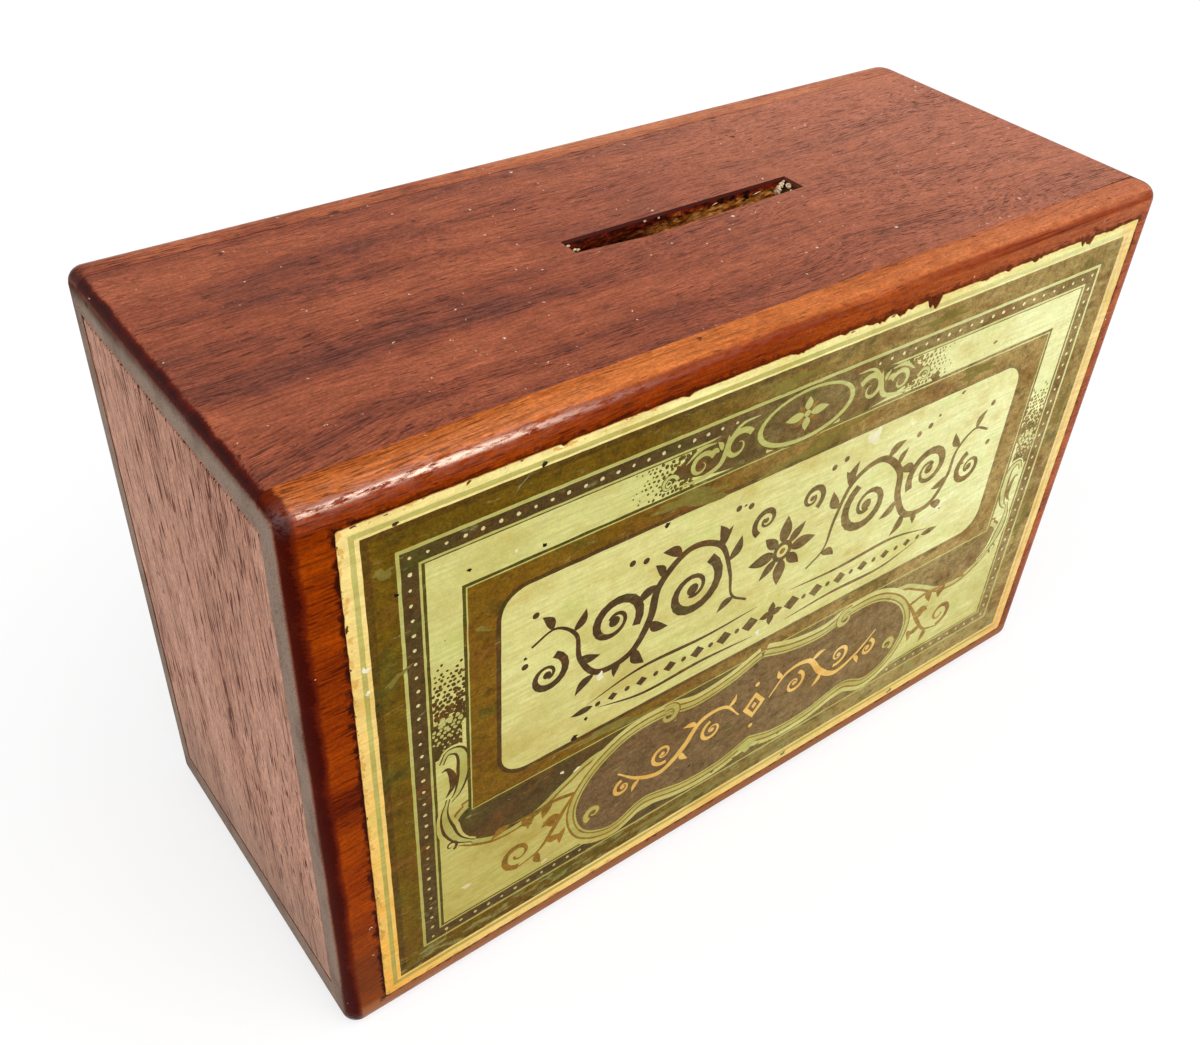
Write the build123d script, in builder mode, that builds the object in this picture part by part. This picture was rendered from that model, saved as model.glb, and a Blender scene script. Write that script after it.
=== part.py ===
"""Wooden offering box: six boards, a printed front label and a screwed hatch in the base.

The origin is at the middle of the underside. X runs along the box, the labelled front faces -Y,
and Z points up. All sizes are in millimetres.
"""

from build123d import *
import os

# Outside of the box
length = 152.0
depth = 62.0
height = 98.5

# Boards
wall_thickness = 5.0
top_thickness = 5.0
base_thickness = 6.6
end_thickness = 5.0
rebate_depth = 2.5

# Roundings worn on the outside
edge_radius = 2.2
left_corner_radius = 2.4
right_corner_radius = 3.4
eased_arris = 0.25
joint_bevel = 0.12

# Joints opened by shrinkage
end_panel_gap = 0.35
crack_length = 19.0
crack_width = 0.4

# Coin slot, sawn by hand: its back edge is straight and its front edge bows out
slot_length = 41.5
slot_offset = 3.6
slot_back_edge = 2.4
slot_left_width = 3.0
slot_widest = 4.2
slot_right_width = 3.6
slot_widest_from_left = 11.5
slot_lip = 0.35

# Printed label on the front
label_thickness = 0.15
label_left_margin = 6.1
label_right_margin = 5.2
label_top_margin = 4.3
label_bottom_margin = 4.2

# Hatch let into the underside
hatch_length = 64.0
hatch_width = 34.0
hatch_thickness = 3.0
end_ledge = 8.0
side_ledge = 4.0
hatch_clearance = 0.25

# Countersunk brass wood screws that hold the hatch
screw_length = 6.0
screw_edge_distance = 5.0
screw_head_radius = 2.1
screw_head_rim = 0.15
screw_head_inset = 0.15
screw_shank_radius = 1.1
screw_root_radius = 0.8
screw_thread_pitch = 0.75
screw_point_length = 1.2
screw_slot_width = 0.6
screw_slot_depth = 0.55
screw_slot_angles = (20, -35, 75, 10)
screw_clearance = 0.06

# Places worked out from the sizes above
inner_width = depth - 2 * wall_thickness
base_width = inner_width + 2 * rebate_depth
top_underside = height - top_thickness
front_face = -depth / 2
slot_left = slot_offset - slot_length / 2
slot_right = slot_left + slot_length
screw_spacing_x = hatch_length - end_ledge
screw_spacing_y = hatch_width - 2 * screw_edge_distance
countersink_radius = screw_head_radius + screw_head_inset + screw_head_rim + screw_clearance


# Outside shape that every board is worked to
with BuildPart() as envelope:
    with BuildSketch() as outline:
        Rectangle(length, depth)
        fillet(outline.vertices().group_by(Axis.X)[0], radius=left_corner_radius)
        fillet(outline.vertices().group_by(Axis.X)[-1], radius=right_corner_radius)
    extrude(amount=height)
    fillet(envelope.faces().filter_by(Axis.Z).edges(), radius=edge_radius)


# Front board, full height and length, rebated along its lower inside edge for the base
with BuildPart() as front_board:
    with BuildSketch(Plane.YZ.offset(-length / 2)):
        with BuildLine():
            Polyline(
                (front_face, 0),
                (front_face, height),
                (front_face + wall_thickness, height),
                (front_face + wall_thickness, base_thickness),
                (front_face + wall_thickness - rebate_depth, base_thickness),
                (front_face + wall_thickness - rebate_depth, 0),
                close=True,
            )
        make_face()
    extrude(amount=length)
    add(envelope.part, mode=Mode.INTERSECT)

# Back board, the front board's mirror image
with BuildPart() as back_board:
    add(front_board.part)
    mirror(about=Plane.XZ, mode=Mode.REPLACE)


# Top board between front and back, with the coin slot and a crack at its right end
with BuildPart() as top_board:
    with BuildSketch(Plane.XY.offset(top_underside)):
        Rectangle(length, inner_width)
    extrude(amount=top_thickness)
    chamfer(top_board.faces().sort_by(Axis.Z)[-1].edges().filter_by(Axis.X), length=joint_bevel)
    with BuildSketch(Plane.XY.offset(top_underside)):
        with BuildLine():
            Polyline(
                (slot_left, slot_back_edge),
                (slot_right, slot_back_edge),
                (slot_right, slot_back_edge - slot_right_width),
                (slot_left + slot_widest_from_left, slot_back_edge - slot_widest),
                (slot_left, slot_back_edge - slot_left_width),
                close=True,
            )
        make_face()
    extrude(amount=top_thickness, mode=Mode.SUBTRACT)
    top_face = top_board.faces().sort_by(Axis.Z)[-1]
    chamfer(top_face.inner_wires()[0].edges(), length=slot_lip)
    with BuildSketch(Plane.XY.offset(top_underside)):
        with BuildLine():
            Polyline(
                (length / 2 - crack_length, -inner_width / 2),
                (length / 2, -inner_width / 2),
                (length / 2, -inner_width / 2 + crack_width),
                close=True,
            )
        make_face()
    extrude(amount=top_thickness, mode=Mode.SUBTRACT)
    add(envelope.part, mode=Mode.INTERSECT)


# Base board in the rebates, with a stepped opening for the hatch and pilot holes for its screws
with BuildPart() as base_board:
    with BuildSketch():
        Rectangle(length, base_width)
    extrude(amount=base_thickness)
    with BuildSketch():
        Rectangle(hatch_length + 2 * hatch_clearance, hatch_width + 2 * hatch_clearance)
    extrude(amount=hatch_thickness, mode=Mode.SUBTRACT)
    with BuildSketch():
        Rectangle(hatch_length - 2 * end_ledge, hatch_width - 2 * side_ledge)
    extrude(amount=base_thickness, mode=Mode.SUBTRACT)
    with BuildSketch():
        with GridLocations(screw_spacing_x, screw_spacing_y, 2, 2):
            Circle(screw_shank_radius + screw_clearance)
    extrude(amount=screw_length + screw_head_inset, mode=Mode.SUBTRACT)
    add(envelope.part, mode=Mode.INTERSECT)


def end_panel(side):
    """End panel with upright grain, tight to the front board and open by a gap elsewhere.

    side is -1 for the left end and 1 for the right end.
    """
    panel_width = inner_width - end_panel_gap
    panel_height = top_underside - base_thickness - 2 * end_panel_gap
    middle = (side * length / 2, -end_panel_gap / 2, (top_underside + base_thickness) / 2)
    with BuildPart() as panel:
        with BuildSketch(Plane(origin=middle, x_dir=(0, side, 0), z_dir=(side, 0, 0))):
            Rectangle(panel_width, panel_height)
        extrude(amount=-end_thickness)
        outer_face = panel.faces().sort_by(Axis.X)[-1 if side > 0 else 0]
        chamfer(outer_face.edges(), length=eased_arris)
    return panel


left_end_panel = end_panel(-1)
right_end_panel = end_panel(1)


# Printed label, glued to the front board a little to the right of its middle
label_middle = (
    (label_left_margin - label_right_margin) / 2,
    (height - label_top_margin + label_bottom_margin) / 2,
)
with BuildPart() as front_label:
    with BuildSketch(Plane.XZ.offset(-front_face)):
        with Locations(label_middle):
            Rectangle(
                length - label_left_margin - label_right_margin,
                height - label_top_margin - label_bottom_margin,
            )
    extrude(amount=label_thickness)


# Hatch, flush with the underside, with countersunk holes
with BuildPart() as base_hatch:
    with BuildSketch():
        Rectangle(hatch_length, hatch_width)
    extrude(amount=hatch_thickness)
    outside = Plane(origin=(0, 0, 0), x_dir=(1, 0, 0), z_dir=(0, 0, -1))
    with Locations(outside):
        with GridLocations(screw_spacing_x, screw_spacing_y, 2, 2):
            CounterSinkHole(
                radius=screw_shank_radius + screw_clearance,
                counter_sink_radius=countersink_radius,
                depth=hatch_thickness,
                counter_sink_angle=90,
            )


def hatch_screw(x, y, slot_angle):
    """Countersunk wood screw pointing up into the base at (x, y), its thread turned as rings."""
    cone_end = screw_head_inset + screw_head_rim + screw_head_radius - screw_shank_radius
    thread_end = screw_head_inset + screw_length - screw_point_length
    thread_turns = int((thread_end - hatch_thickness) / screw_thread_pitch)
    profile = [
        (0, screw_head_inset),
        (screw_head_radius, screw_head_inset),
        (screw_head_radius, screw_head_inset + screw_head_rim),
        (screw_shank_radius, cone_end),
    ]
    for turn in range(thread_turns):
        crest = thread_end - (thread_turns - turn) * screw_thread_pitch
        profile.append((screw_shank_radius, crest))
        profile.append((screw_root_radius, crest + screw_thread_pitch / 2))
    profile.append((screw_shank_radius, thread_end))
    profile.append((0, screw_head_inset + screw_length))

    upright = Plane(origin=(x, y, 0), x_dir=(1, 0, 0), z_dir=(0, -1, 0))
    with BuildPart() as screw:
        with BuildSketch(upright):
            with BuildLine():
                Polyline(*profile, close=True)
            make_face()
        revolve(axis=Axis((x, y, 0), (0, 0, 1)))
        with BuildSketch(Plane(origin=(x, y, screw_head_inset))):
            Rectangle(2 * screw_head_radius, screw_slot_width, rotation=slot_angle)
        extrude(amount=screw_slot_depth, mode=Mode.SUBTRACT)
    return screw


pieces = {
    "front_board": front_board,
    "back_board": back_board,
    "top_board": top_board,
    "base_board": base_board,
    "left_end_panel": left_end_panel,
    "right_end_panel": right_end_panel,
    "front_label": front_label,
    "base_hatch": base_hatch,
}
screw_places = GridLocations(screw_spacing_x, screw_spacing_y, 2, 2).locations
for number, (place, slot_angle) in enumerate(zip(screw_places, screw_slot_angles), start=1):
    pieces[f"hatch_screw_{number}"] = hatch_screw(
        place.position.X, place.position.Y, slot_angle
    )

os.makedirs("parts", exist_ok=True)
for name, piece in pieces.items():
    piece.part.label = name
    export_step(piece.part, f"parts/{name}.step")
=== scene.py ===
"""Looks of the wooden offering box.

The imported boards, hatch and screws stay where model.glb puts them and get their finishes here. The
front label is printed as one thin sheet, cut along the edges of its inks. Torn fibres and chips
dress the coin slot, and the box is lit on a pale floor. Sizes are in millimetres until a mesh or a
lamp is made, in metres. X runs along the box, the label faces -Y and Z points up.
"""

import logging
import math
from collections.abc import Callable
from dataclasses import dataclass, field, replace
from enum import Enum

import bpy
import numpy as np
from mathutils import Euler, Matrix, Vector
from mathutils.geometry import delaunay_2d_cdt


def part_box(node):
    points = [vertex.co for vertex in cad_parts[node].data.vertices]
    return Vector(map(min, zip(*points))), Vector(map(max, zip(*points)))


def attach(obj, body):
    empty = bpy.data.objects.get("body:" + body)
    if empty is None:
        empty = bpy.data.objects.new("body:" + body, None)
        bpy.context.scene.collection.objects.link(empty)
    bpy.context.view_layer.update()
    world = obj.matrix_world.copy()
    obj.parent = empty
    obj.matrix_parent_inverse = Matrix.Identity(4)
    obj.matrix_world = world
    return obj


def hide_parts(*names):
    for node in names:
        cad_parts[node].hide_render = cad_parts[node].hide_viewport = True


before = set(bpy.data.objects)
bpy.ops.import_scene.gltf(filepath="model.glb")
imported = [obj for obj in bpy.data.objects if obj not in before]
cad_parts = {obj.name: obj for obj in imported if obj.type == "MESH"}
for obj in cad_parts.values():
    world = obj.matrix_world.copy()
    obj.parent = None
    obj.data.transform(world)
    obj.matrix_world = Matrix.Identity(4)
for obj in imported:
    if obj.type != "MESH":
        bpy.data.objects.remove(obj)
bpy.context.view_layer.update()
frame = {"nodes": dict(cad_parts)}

LOG = logging.getLogger("offering_box")
METRE = 1000.0
WHITE = (1.0, 1.0, 1.0, 1.0)
MIRRORED = np.array([-1.0, 1.0])
QUARTERS = (0, 90, 180, 270)

Colour = tuple[float, float, float, float]
Shape = tuple[np.ndarray, list]
Border = tuple[float, float, float]


def srgb(red: float, green: float, blue: float) -> Colour:
    """Turns a colour as a screen shows it into the linear colour that a shader reads.

    Args:
        red, green, blue: the screen's values, 0 to 255.

    Returns:
        The linear red, green and blue, and an alpha of 1.
    """
    seen = np.array([red, green, blue]) / 255.0
    linear = np.where(seen <= 0.04045, seen / 12.92, ((seen + 0.055) / 1.055) ** 2.4)
    return (float(linear[0]), float(linear[1]), float(linear[2]), 1.0)


def operator(kind: str, turned: bool = False) -> Callable[..., "Signal"]:
    """Makes the operator that stands for a kind of Math node, with its two values turned round or not."""
    if turned:
        return lambda first, second: first.graph.math(kind, second, first)
    return lambda first, second=0.0: first.graph.math(kind, first, second)


@dataclass(frozen=True)
class Signal:
    """A node's output, which can be reckoned with like a number."""

    graph: "Graph"
    socket: bpy.types.NodeSocket

    __add__ = __radd__ = operator("ADD")
    __mul__ = __rmul__ = operator("MULTIPLY")
    __sub__, __rsub__ = operator("SUBTRACT"), operator("SUBTRACT", True)
    __truediv__, __rtruediv__ = operator("DIVIDE"), operator("DIVIDE", True)
    __pow__, __abs__ = operator("POWER"), operator("ABSOLUTE")


@dataclass
class Graph:
    """A node tree, with short calls that add a node, fill its sockets and give its result."""

    tree: bpy.types.NodeTree

    def node(self, kind: str, inputs: dict | None = None, **settings: object) -> bpy.types.Node:
        """Adds a node.

        Args:
            kind: Blender's name for the node type.
            inputs: socket name or number to a plain value or another node's output.
            settings: attributes of the node itself.

        Returns:
            The new node.
        """
        made = self.tree.nodes.new(kind)
        for name, value in settings.items():
            setattr(made, name, value)
        for name, value in (inputs or {}).items():
            if isinstance(value, Signal):
                self.tree.links.new(value.socket, made.inputs[name])
            else:
                made.inputs[name].default_value = value
        return made

    def give(self, kind: str, inputs: dict | None = None, output: str | int = 0,
             **settings: object) -> Signal:
        """Adds a node and gives one of its outputs."""
        return Signal(self, self.node(kind, inputs, **settings).outputs[output])

    def math(self, operation: str, *values: object, clamp: bool = False) -> Signal:
        """Adds a Math node."""
        return self.give("ShaderNodeMath", dict(enumerate(values)), operation=operation, use_clamp=clamp)

    def vector_math(self, operation: str, *values: object, output: str = "Vector") -> Signal:
        """Adds a Vector Math node."""
        return self.give("ShaderNodeVectorMath", dict(enumerate(values)), output, operation=operation)

    def mix(self, share: object, first: object, second: object, blend: str = "MIX") -> Signal:
        """Mixes two colours by a share from 0, the first, to 1, the second."""
        return self.give("ShaderNodeMix", {0: share, 6: first, 7: second}, 2, data_type="RGBA",
                         blend_type=blend)

    def tint(self, share: object, colour: object, tint: Colour) -> Signal:
        """Multiplies a colour by a tint, as far as the share says."""
        return self.mix(share, colour, tint, "MULTIPLY")

    def scale(self, colour: object, factor: Signal) -> Signal:
        """Multiplies a colour by a number."""
        plain = colour if isinstance(colour, Signal) else colour[:3]
        return self.give("ShaderNodeVectorMath", {0: plain, "Scale": factor}, operation="SCALE")

    def vary(self, noise: Signal, share: object, base: object = 1.0) -> Signal:
        """Gives the base plus a share of how far a noise is from its middle."""
        return (noise - 0.5) * share + base

    def step(self, value: object, low: float, high: float) -> Signal:
        """Runs smoothly from 0 at the first value to 1 at the second, which may be the lower one."""
        inputs = {"Value": value, "From Min": low, "From Max": high}
        return self.give("ShaderNodeMapRange", inputs, interpolation_type="SMOOTHSTEP")

    def place(self, vector: Signal, scale: tuple = (1, 1, 1), shift: tuple = (0, 0, 0),
              turn: tuple = (0, 0, 0)) -> Signal:
        """Scales a vector, turns it by degrees and then shifts it."""
        inputs = {"Vector": vector, "Scale": scale, "Location": shift,
                  "Rotation": tuple(math.radians(angle) for angle in turn)}
        return self.give("ShaderNodeMapping", inputs)

    def noise(self, vector: Signal, detail: float = 2.0, roughness: float = 0.5) -> Signal:
        """Gives the grey value of a noise texture."""
        return self.give(
            "ShaderNodeTexNoise", {"Vector": vector, "Scale": 1.0, "Detail": detail, "Roughness": roughness})

    def cloud(self, vector: Signal, size: tuple, detail: float = 2.0, roughness: float = 0.5,
              shift: tuple = (0, 0, 0)) -> Signal:
        """Gives a noise whose features have about the given size along each axis."""
        return self.noise(self.place(vector, tuple(1 / part for part in size), shift), detail, roughness)

    def ramp(self, value: Signal, *stops: tuple[float, Colour]) -> Signal:
        """Runs a value through a colour ramp of (place, colour) stops.

        Args:
            value: what runs through it.
            stops: its stops in order.

        Returns:
            The colour.
        """
        made = self.node("ShaderNodeValToRGB", {0: value})
        elements = made.color_ramp.elements
        while len(elements) < len(stops):
            elements.new(1.0)
        for element, (place, colour) in zip(elements, stops):
            element.position, element.color = place, colour
        return Signal(self, made.outputs[0])

    def split(self, vector: Signal) -> list[Signal]:
        """Gives a vector's three parts."""
        return self.outputs(self.node("ShaderNodeSeparateXYZ", {0: vector}))

    def outputs(self, node: bpy.types.Node) -> list[Signal]:
        """Gives a node's named outputs."""
        return [Signal(self, socket) for socket in node.outputs if socket.name]

    def use(self, effect: bpy.types.NodeTree, **inputs: object) -> dict[str, Signal]:
        """Places a shared effect and gives its outputs by name."""
        group = self.node("ShaderNodeGroup", inputs, node_tree=effect)
        return {signal.socket.name: signal for signal in self.outputs(group)}


def new_effect(name: str, inputs: dict[str, float | None], outputs: tuple[str, ...]) -> tuple[Graph, dict]:
    """Makes an empty shader node group with named sockets.

    Args:
        name: the group's name.
        inputs: each input's name with its default number, or None for a vector.
        outputs: the names of the grey outputs.

    Returns:
        The group's graph and its input sockets by name.
    """
    tree = bpy.data.node_groups.new(name, "ShaderNodeTree")
    for label, default in inputs.items():
        kind = "NodeSocketFloat" if default is not None else "NodeSocketVector"
        socket = tree.interface.new_socket(name=label, in_out="INPUT", socket_type=kind)
        if default is not None:
            socket.default_value = default
    for label in outputs:
        tree.interface.new_socket(name=label, in_out="OUTPUT", socket_type="NodeSocketFloat")
    graph = Graph(tree)
    return graph, {signal.socket.name: signal for signal in graph.outputs(graph.node("NodeGroupInput"))}


def close_effect(graph: Graph, **results: Signal) -> bpy.types.NodeTree:
    """Joins a group's results to its outputs, with an underscore for each blank in a name."""
    graph.node("NodeGroupOutput", {name.replace("_", " "): value for name, value in results.items()})
    return graph.tree


@dataclass
class Effects:
    """The node groups that several finishes share, each built once."""

    half_length: float
    half_depth: float
    height: float
    edges: bpy.types.NodeTree = field(init=False)
    timber: bpy.types.NodeTree = field(init=False)
    specks: bpy.types.NodeTree = field(init=False)
    hairlines: bpy.types.NodeTree = field(init=False)

    def __post_init__(self) -> None:
        """Builds every shared effect."""
        self.edges = self.build_edges()
        self.timber = self.build_timber()
        self.specks = self.build_specks()
        self.hairlines = self.build_hairlines()

    def build_edges(self) -> bpy.types.NodeTree:
        """Finds the outside of the box and its worn edges.

        The distance to each pair of outer faces is half the size less the coordinate. The depth is
        the least of the three, and an edge is where two of them are small at once.

        Returns:
            The effect.
        """
        graph, inputs = new_effect(
            "case_edges", {"Vector": None, "Reach": 2.6}, ("Depth", "End Edge", "Long Edge"))
        x, y, z = graph.split(inputs["Vector"])
        to_end = self.half_length - abs(x)
        to_face = self.half_depth - abs(y)
        to_top = graph.math("MINIMUM", z, self.height - z)
        depth = graph.math("MINIMUM", to_end, graph.math("MINIMUM", to_face, to_top))
        near = []
        for distance in (to_end, to_face, to_top):
            share = distance / inputs["Reach"]
            near.append(graph.step(share, 1.0, 0.15))
        end_edge = near[0] * graph.math("MAXIMUM", near[1], near[2])
        long_edge = near[1] * near[2]
        return close_effect(graph, Depth=depth, End_Edge=end_edge, Long_Edge=long_edge)

    def build_timber(self) -> bpy.types.NodeTree:
        """Draws mahogany in the solid, with its grain along X.

        Slow noise bends the coordinates. The figure, the streaks and the fibres are then noises
        that are drawn out along X. The pores are what rises over a limit in three more of them: a
        coarse one, more frequent where the figure is dark, a fine one, and one of long veins. The
        lustre runs across.

        Returns:
            The effect.
        """
        sizes = {"Vector": None, "Bend": 5.0, "Figure Width": 8.0, "Streak Length": 9.0,
                 "Pore Length": 4.5, "Pore Width": 0.34, "Pore Limit": 0.62}
        graph, inputs = new_effect(
            "mahogany_grain", sizes, ("Figure", "Streak", "Pores", "Fibre", "Lustre"))
        vector = inputs["Vector"]
        slow = graph.give("ShaderNodeTexNoise", {"Vector": graph.place(vector, (1 / 48, 1 / 26, 1 / 26)),
                                                 "Scale": 1.0, "Detail": 1.0}, "Color")
        push = graph.give("ShaderNodeCombineXYZ", {1: inputs["Bend"], 2: inputs["Bend"]})
        bend = graph.vector_math("MULTIPLY", graph.vector_math("SUBTRACT", slow, (0.5, 0.5, 0.5)), push)
        bent = graph.vector_math("ADD", vector, bend)

        def drawn_out(length: object, width: object, detail: float, roughness: float = 0.5) -> Signal:
            """Gives a noise of a length along the grain and a width across it."""
            size = graph.give("ShaderNodeCombineXYZ", {0: length, 1: width, 2: width})
            return graph.noise(graph.vector_math("DIVIDE", bent, size), detail, roughness)

        figure = drawn_out(80.0, inputs["Figure Width"], 3.0, 0.55)
        raised = drawn_out(inputs["Pore Length"], inputs["Pore Width"], 1.0, 0.4)
        coarse = graph.step(raised - graph.vary(figure, 0.45, inputs["Pore Limit"]), 0.0, 0.03)
        fine = graph.step(drawn_out(1.8, 0.18, 1.0, 0.4), 0.6, 0.66)
        vein = graph.step(drawn_out(19.0, 0.55, 2.0), 0.6, 0.7)
        pores = graph.math("MAXIMUM", graph.math("MAXIMUM", coarse, fine * 0.4), vein * 0.6)
        return close_effect(
            graph, Figure=figure, Pores=pores, Fibre=drawn_out(2.6, 0.22, 2.0),
            Streak=drawn_out(inputs["Streak Length"], 0.45, 3.0, 0.65), Lustre=drawn_out(5.0, 16.0, 2.0))

    def build_specks(self) -> bpy.types.NodeTree:
        """Scatters small specks: cells whose random value passes a share hold one of random size.

        Returns:
            The effect.
        """
        graph, inputs = new_effect(
            "scattered_specks", {"Vector": None, "Spacing": 5.0, "Size": 0.3, "Share": 0.3}, ("Mask",))
        rough = graph.give("ShaderNodeTexNoise", {"Vector": inputs["Vector"], "Scale": 2.2}, "Color")
        frequency = 1.0 / inputs["Spacing"]
        shaken = graph.vector_math("ADD", inputs["Vector"], rough)
        cells = graph.node("ShaderNodeTexVoronoi", {"Vector": shaken, "Scale": frequency})
        distance, colour = graph.outputs(cells)[:2]
        chance = graph.split(colour)
        chosen = graph.math("LESS_THAN", chance[0], inputs["Share"])
        radius = inputs["Size"] * frequency * (0.3 + chance[1])
        return close_effect(graph, Mask=chosen * graph.step(distance / radius, 1.0, 0.6))

    def build_hairlines(self) -> bpy.types.NodeTree:
        """Draws fine scratches: the thin contour of a drawn-out noise, broken up by a slower one.

        Returns:
            The effect.
        """
        graph, inputs = new_effect(
            "hairline_scratches", {"Vector": None, "Turn": 0.6, "Width": 0.012, "Share": 0.5}, ("Mask",))
        turned = graph.give("ShaderNodeVectorRotate", {"Vector": inputs["Vector"], "Angle": inputs["Turn"],
                                                       "Axis": (0.3, 0.8, 0.5)})
        off_line = abs(graph.cloud(turned, (170, 2.2, 2.2), 0.0) - 0.5)
        line = graph.math("SUBTRACT", 1.0, off_line / inputs["Width"], clamp=True)
        patches = graph.cloud(turned, (11, 1.7, 1.7), 2.0)
        shown = graph.step(patches - (1.0 - inputs["Share"]), 0.08, 0.16)
        return close_effect(graph, Mask=line * shown)


def blank_graph(owner: bpy.types.Material | bpy.types.World) -> Graph:
    """Empties the node tree of a material or a world."""
    owner.use_nodes = True
    owner.node_tree.nodes.clear()
    return Graph(owner.node_tree)


def new_material(name: str) -> tuple[bpy.types.Material, Graph, Signal]:
    """Makes an empty material.

    Args:
        name: the material's name.

    Returns:
        The material, its graph, and the object coordinates in millimetres.
    """
    material = bpy.data.materials.new(name)
    graph = blank_graph(material)
    return material, graph, graph.place(graph.give("ShaderNodeTexCoord", output="Object"), (METRE,) * 3)


def finish_surface(graph: Graph, inputs: dict[str, object], relief: Signal, depth_mm: float) -> None:
    """Adds the shader, its relief and the material's output.

    Args:
        graph: the material's graph.
        inputs: the Principled shader's sockets.
        relief: the height from 0 to 1.
        depth_mm: the depth that a height of 1 stands for.
    """
    bump = graph.give("ShaderNodeBump", {"Height": relief, "Distance": depth_mm / METRE, "Strength": 1.0})
    shader = graph.give("ShaderNodeBsdfPrincipled", {**inputs, "Normal": bump})
    graph.node("ShaderNodeOutputMaterial", {"Surface": shader})


class Grain(Enum):
    """Which way a board's grain runs, as the turn that brings it onto X."""

    ALONG = (0.0, 0.0, 0.0)
    UPRIGHT = (0.0, 90.0, 0.0)


@dataclass(frozen=True)
class Swathe:
    """A soft darker or lighter band in a board, a long ellipse on its face: figure in the wood, or a painted
    highlight.
    """

    x: float
    y: float
    length: float
    width: float
    turn: float
    strength: float


@dataclass(frozen=True)
class DirtLine:
    """Dark dirt that has gathered on the front round the edge of a rectangle, most of it at the left."""

    x: float
    z: float
    half_width: float
    half_height: float
    reach: float = 0.8
    colour: Colour = srgb(48, 12, 4)
    strength: float = 0.62
    left_strength: float = 0.95

    def mask(self, graph: Graph, place: Signal) -> Signal:
        """Gives 1 at the rectangle's edge, falling off outwards in ragged steps.

        The distance from the rectangle is the greater of the distances beyond its sides.

        Args:
            graph: the material's graph.
            place: the place in millimetres.

        Returns:
            The mask.
        """
        x, _, z = graph.split(graph.place(place, (1, 1, 1), (-self.x, 0, -self.z)))
        across = abs(x) - self.half_width
        up = abs(z) - self.half_height
        ragged = graph.cloud(place, (2.2, 1, 2.2), 4.0, 0.65)
        distance = graph.vary(ragged, 4.2, graph.math("MAXIMUM", across, up))
        leftward = graph.step(x, -self.half_width + 12.0, -self.half_width)
        strength = leftward * (self.left_strength - self.strength) + self.strength
        return graph.step(distance, self.reach, 0.1) * strength


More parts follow.
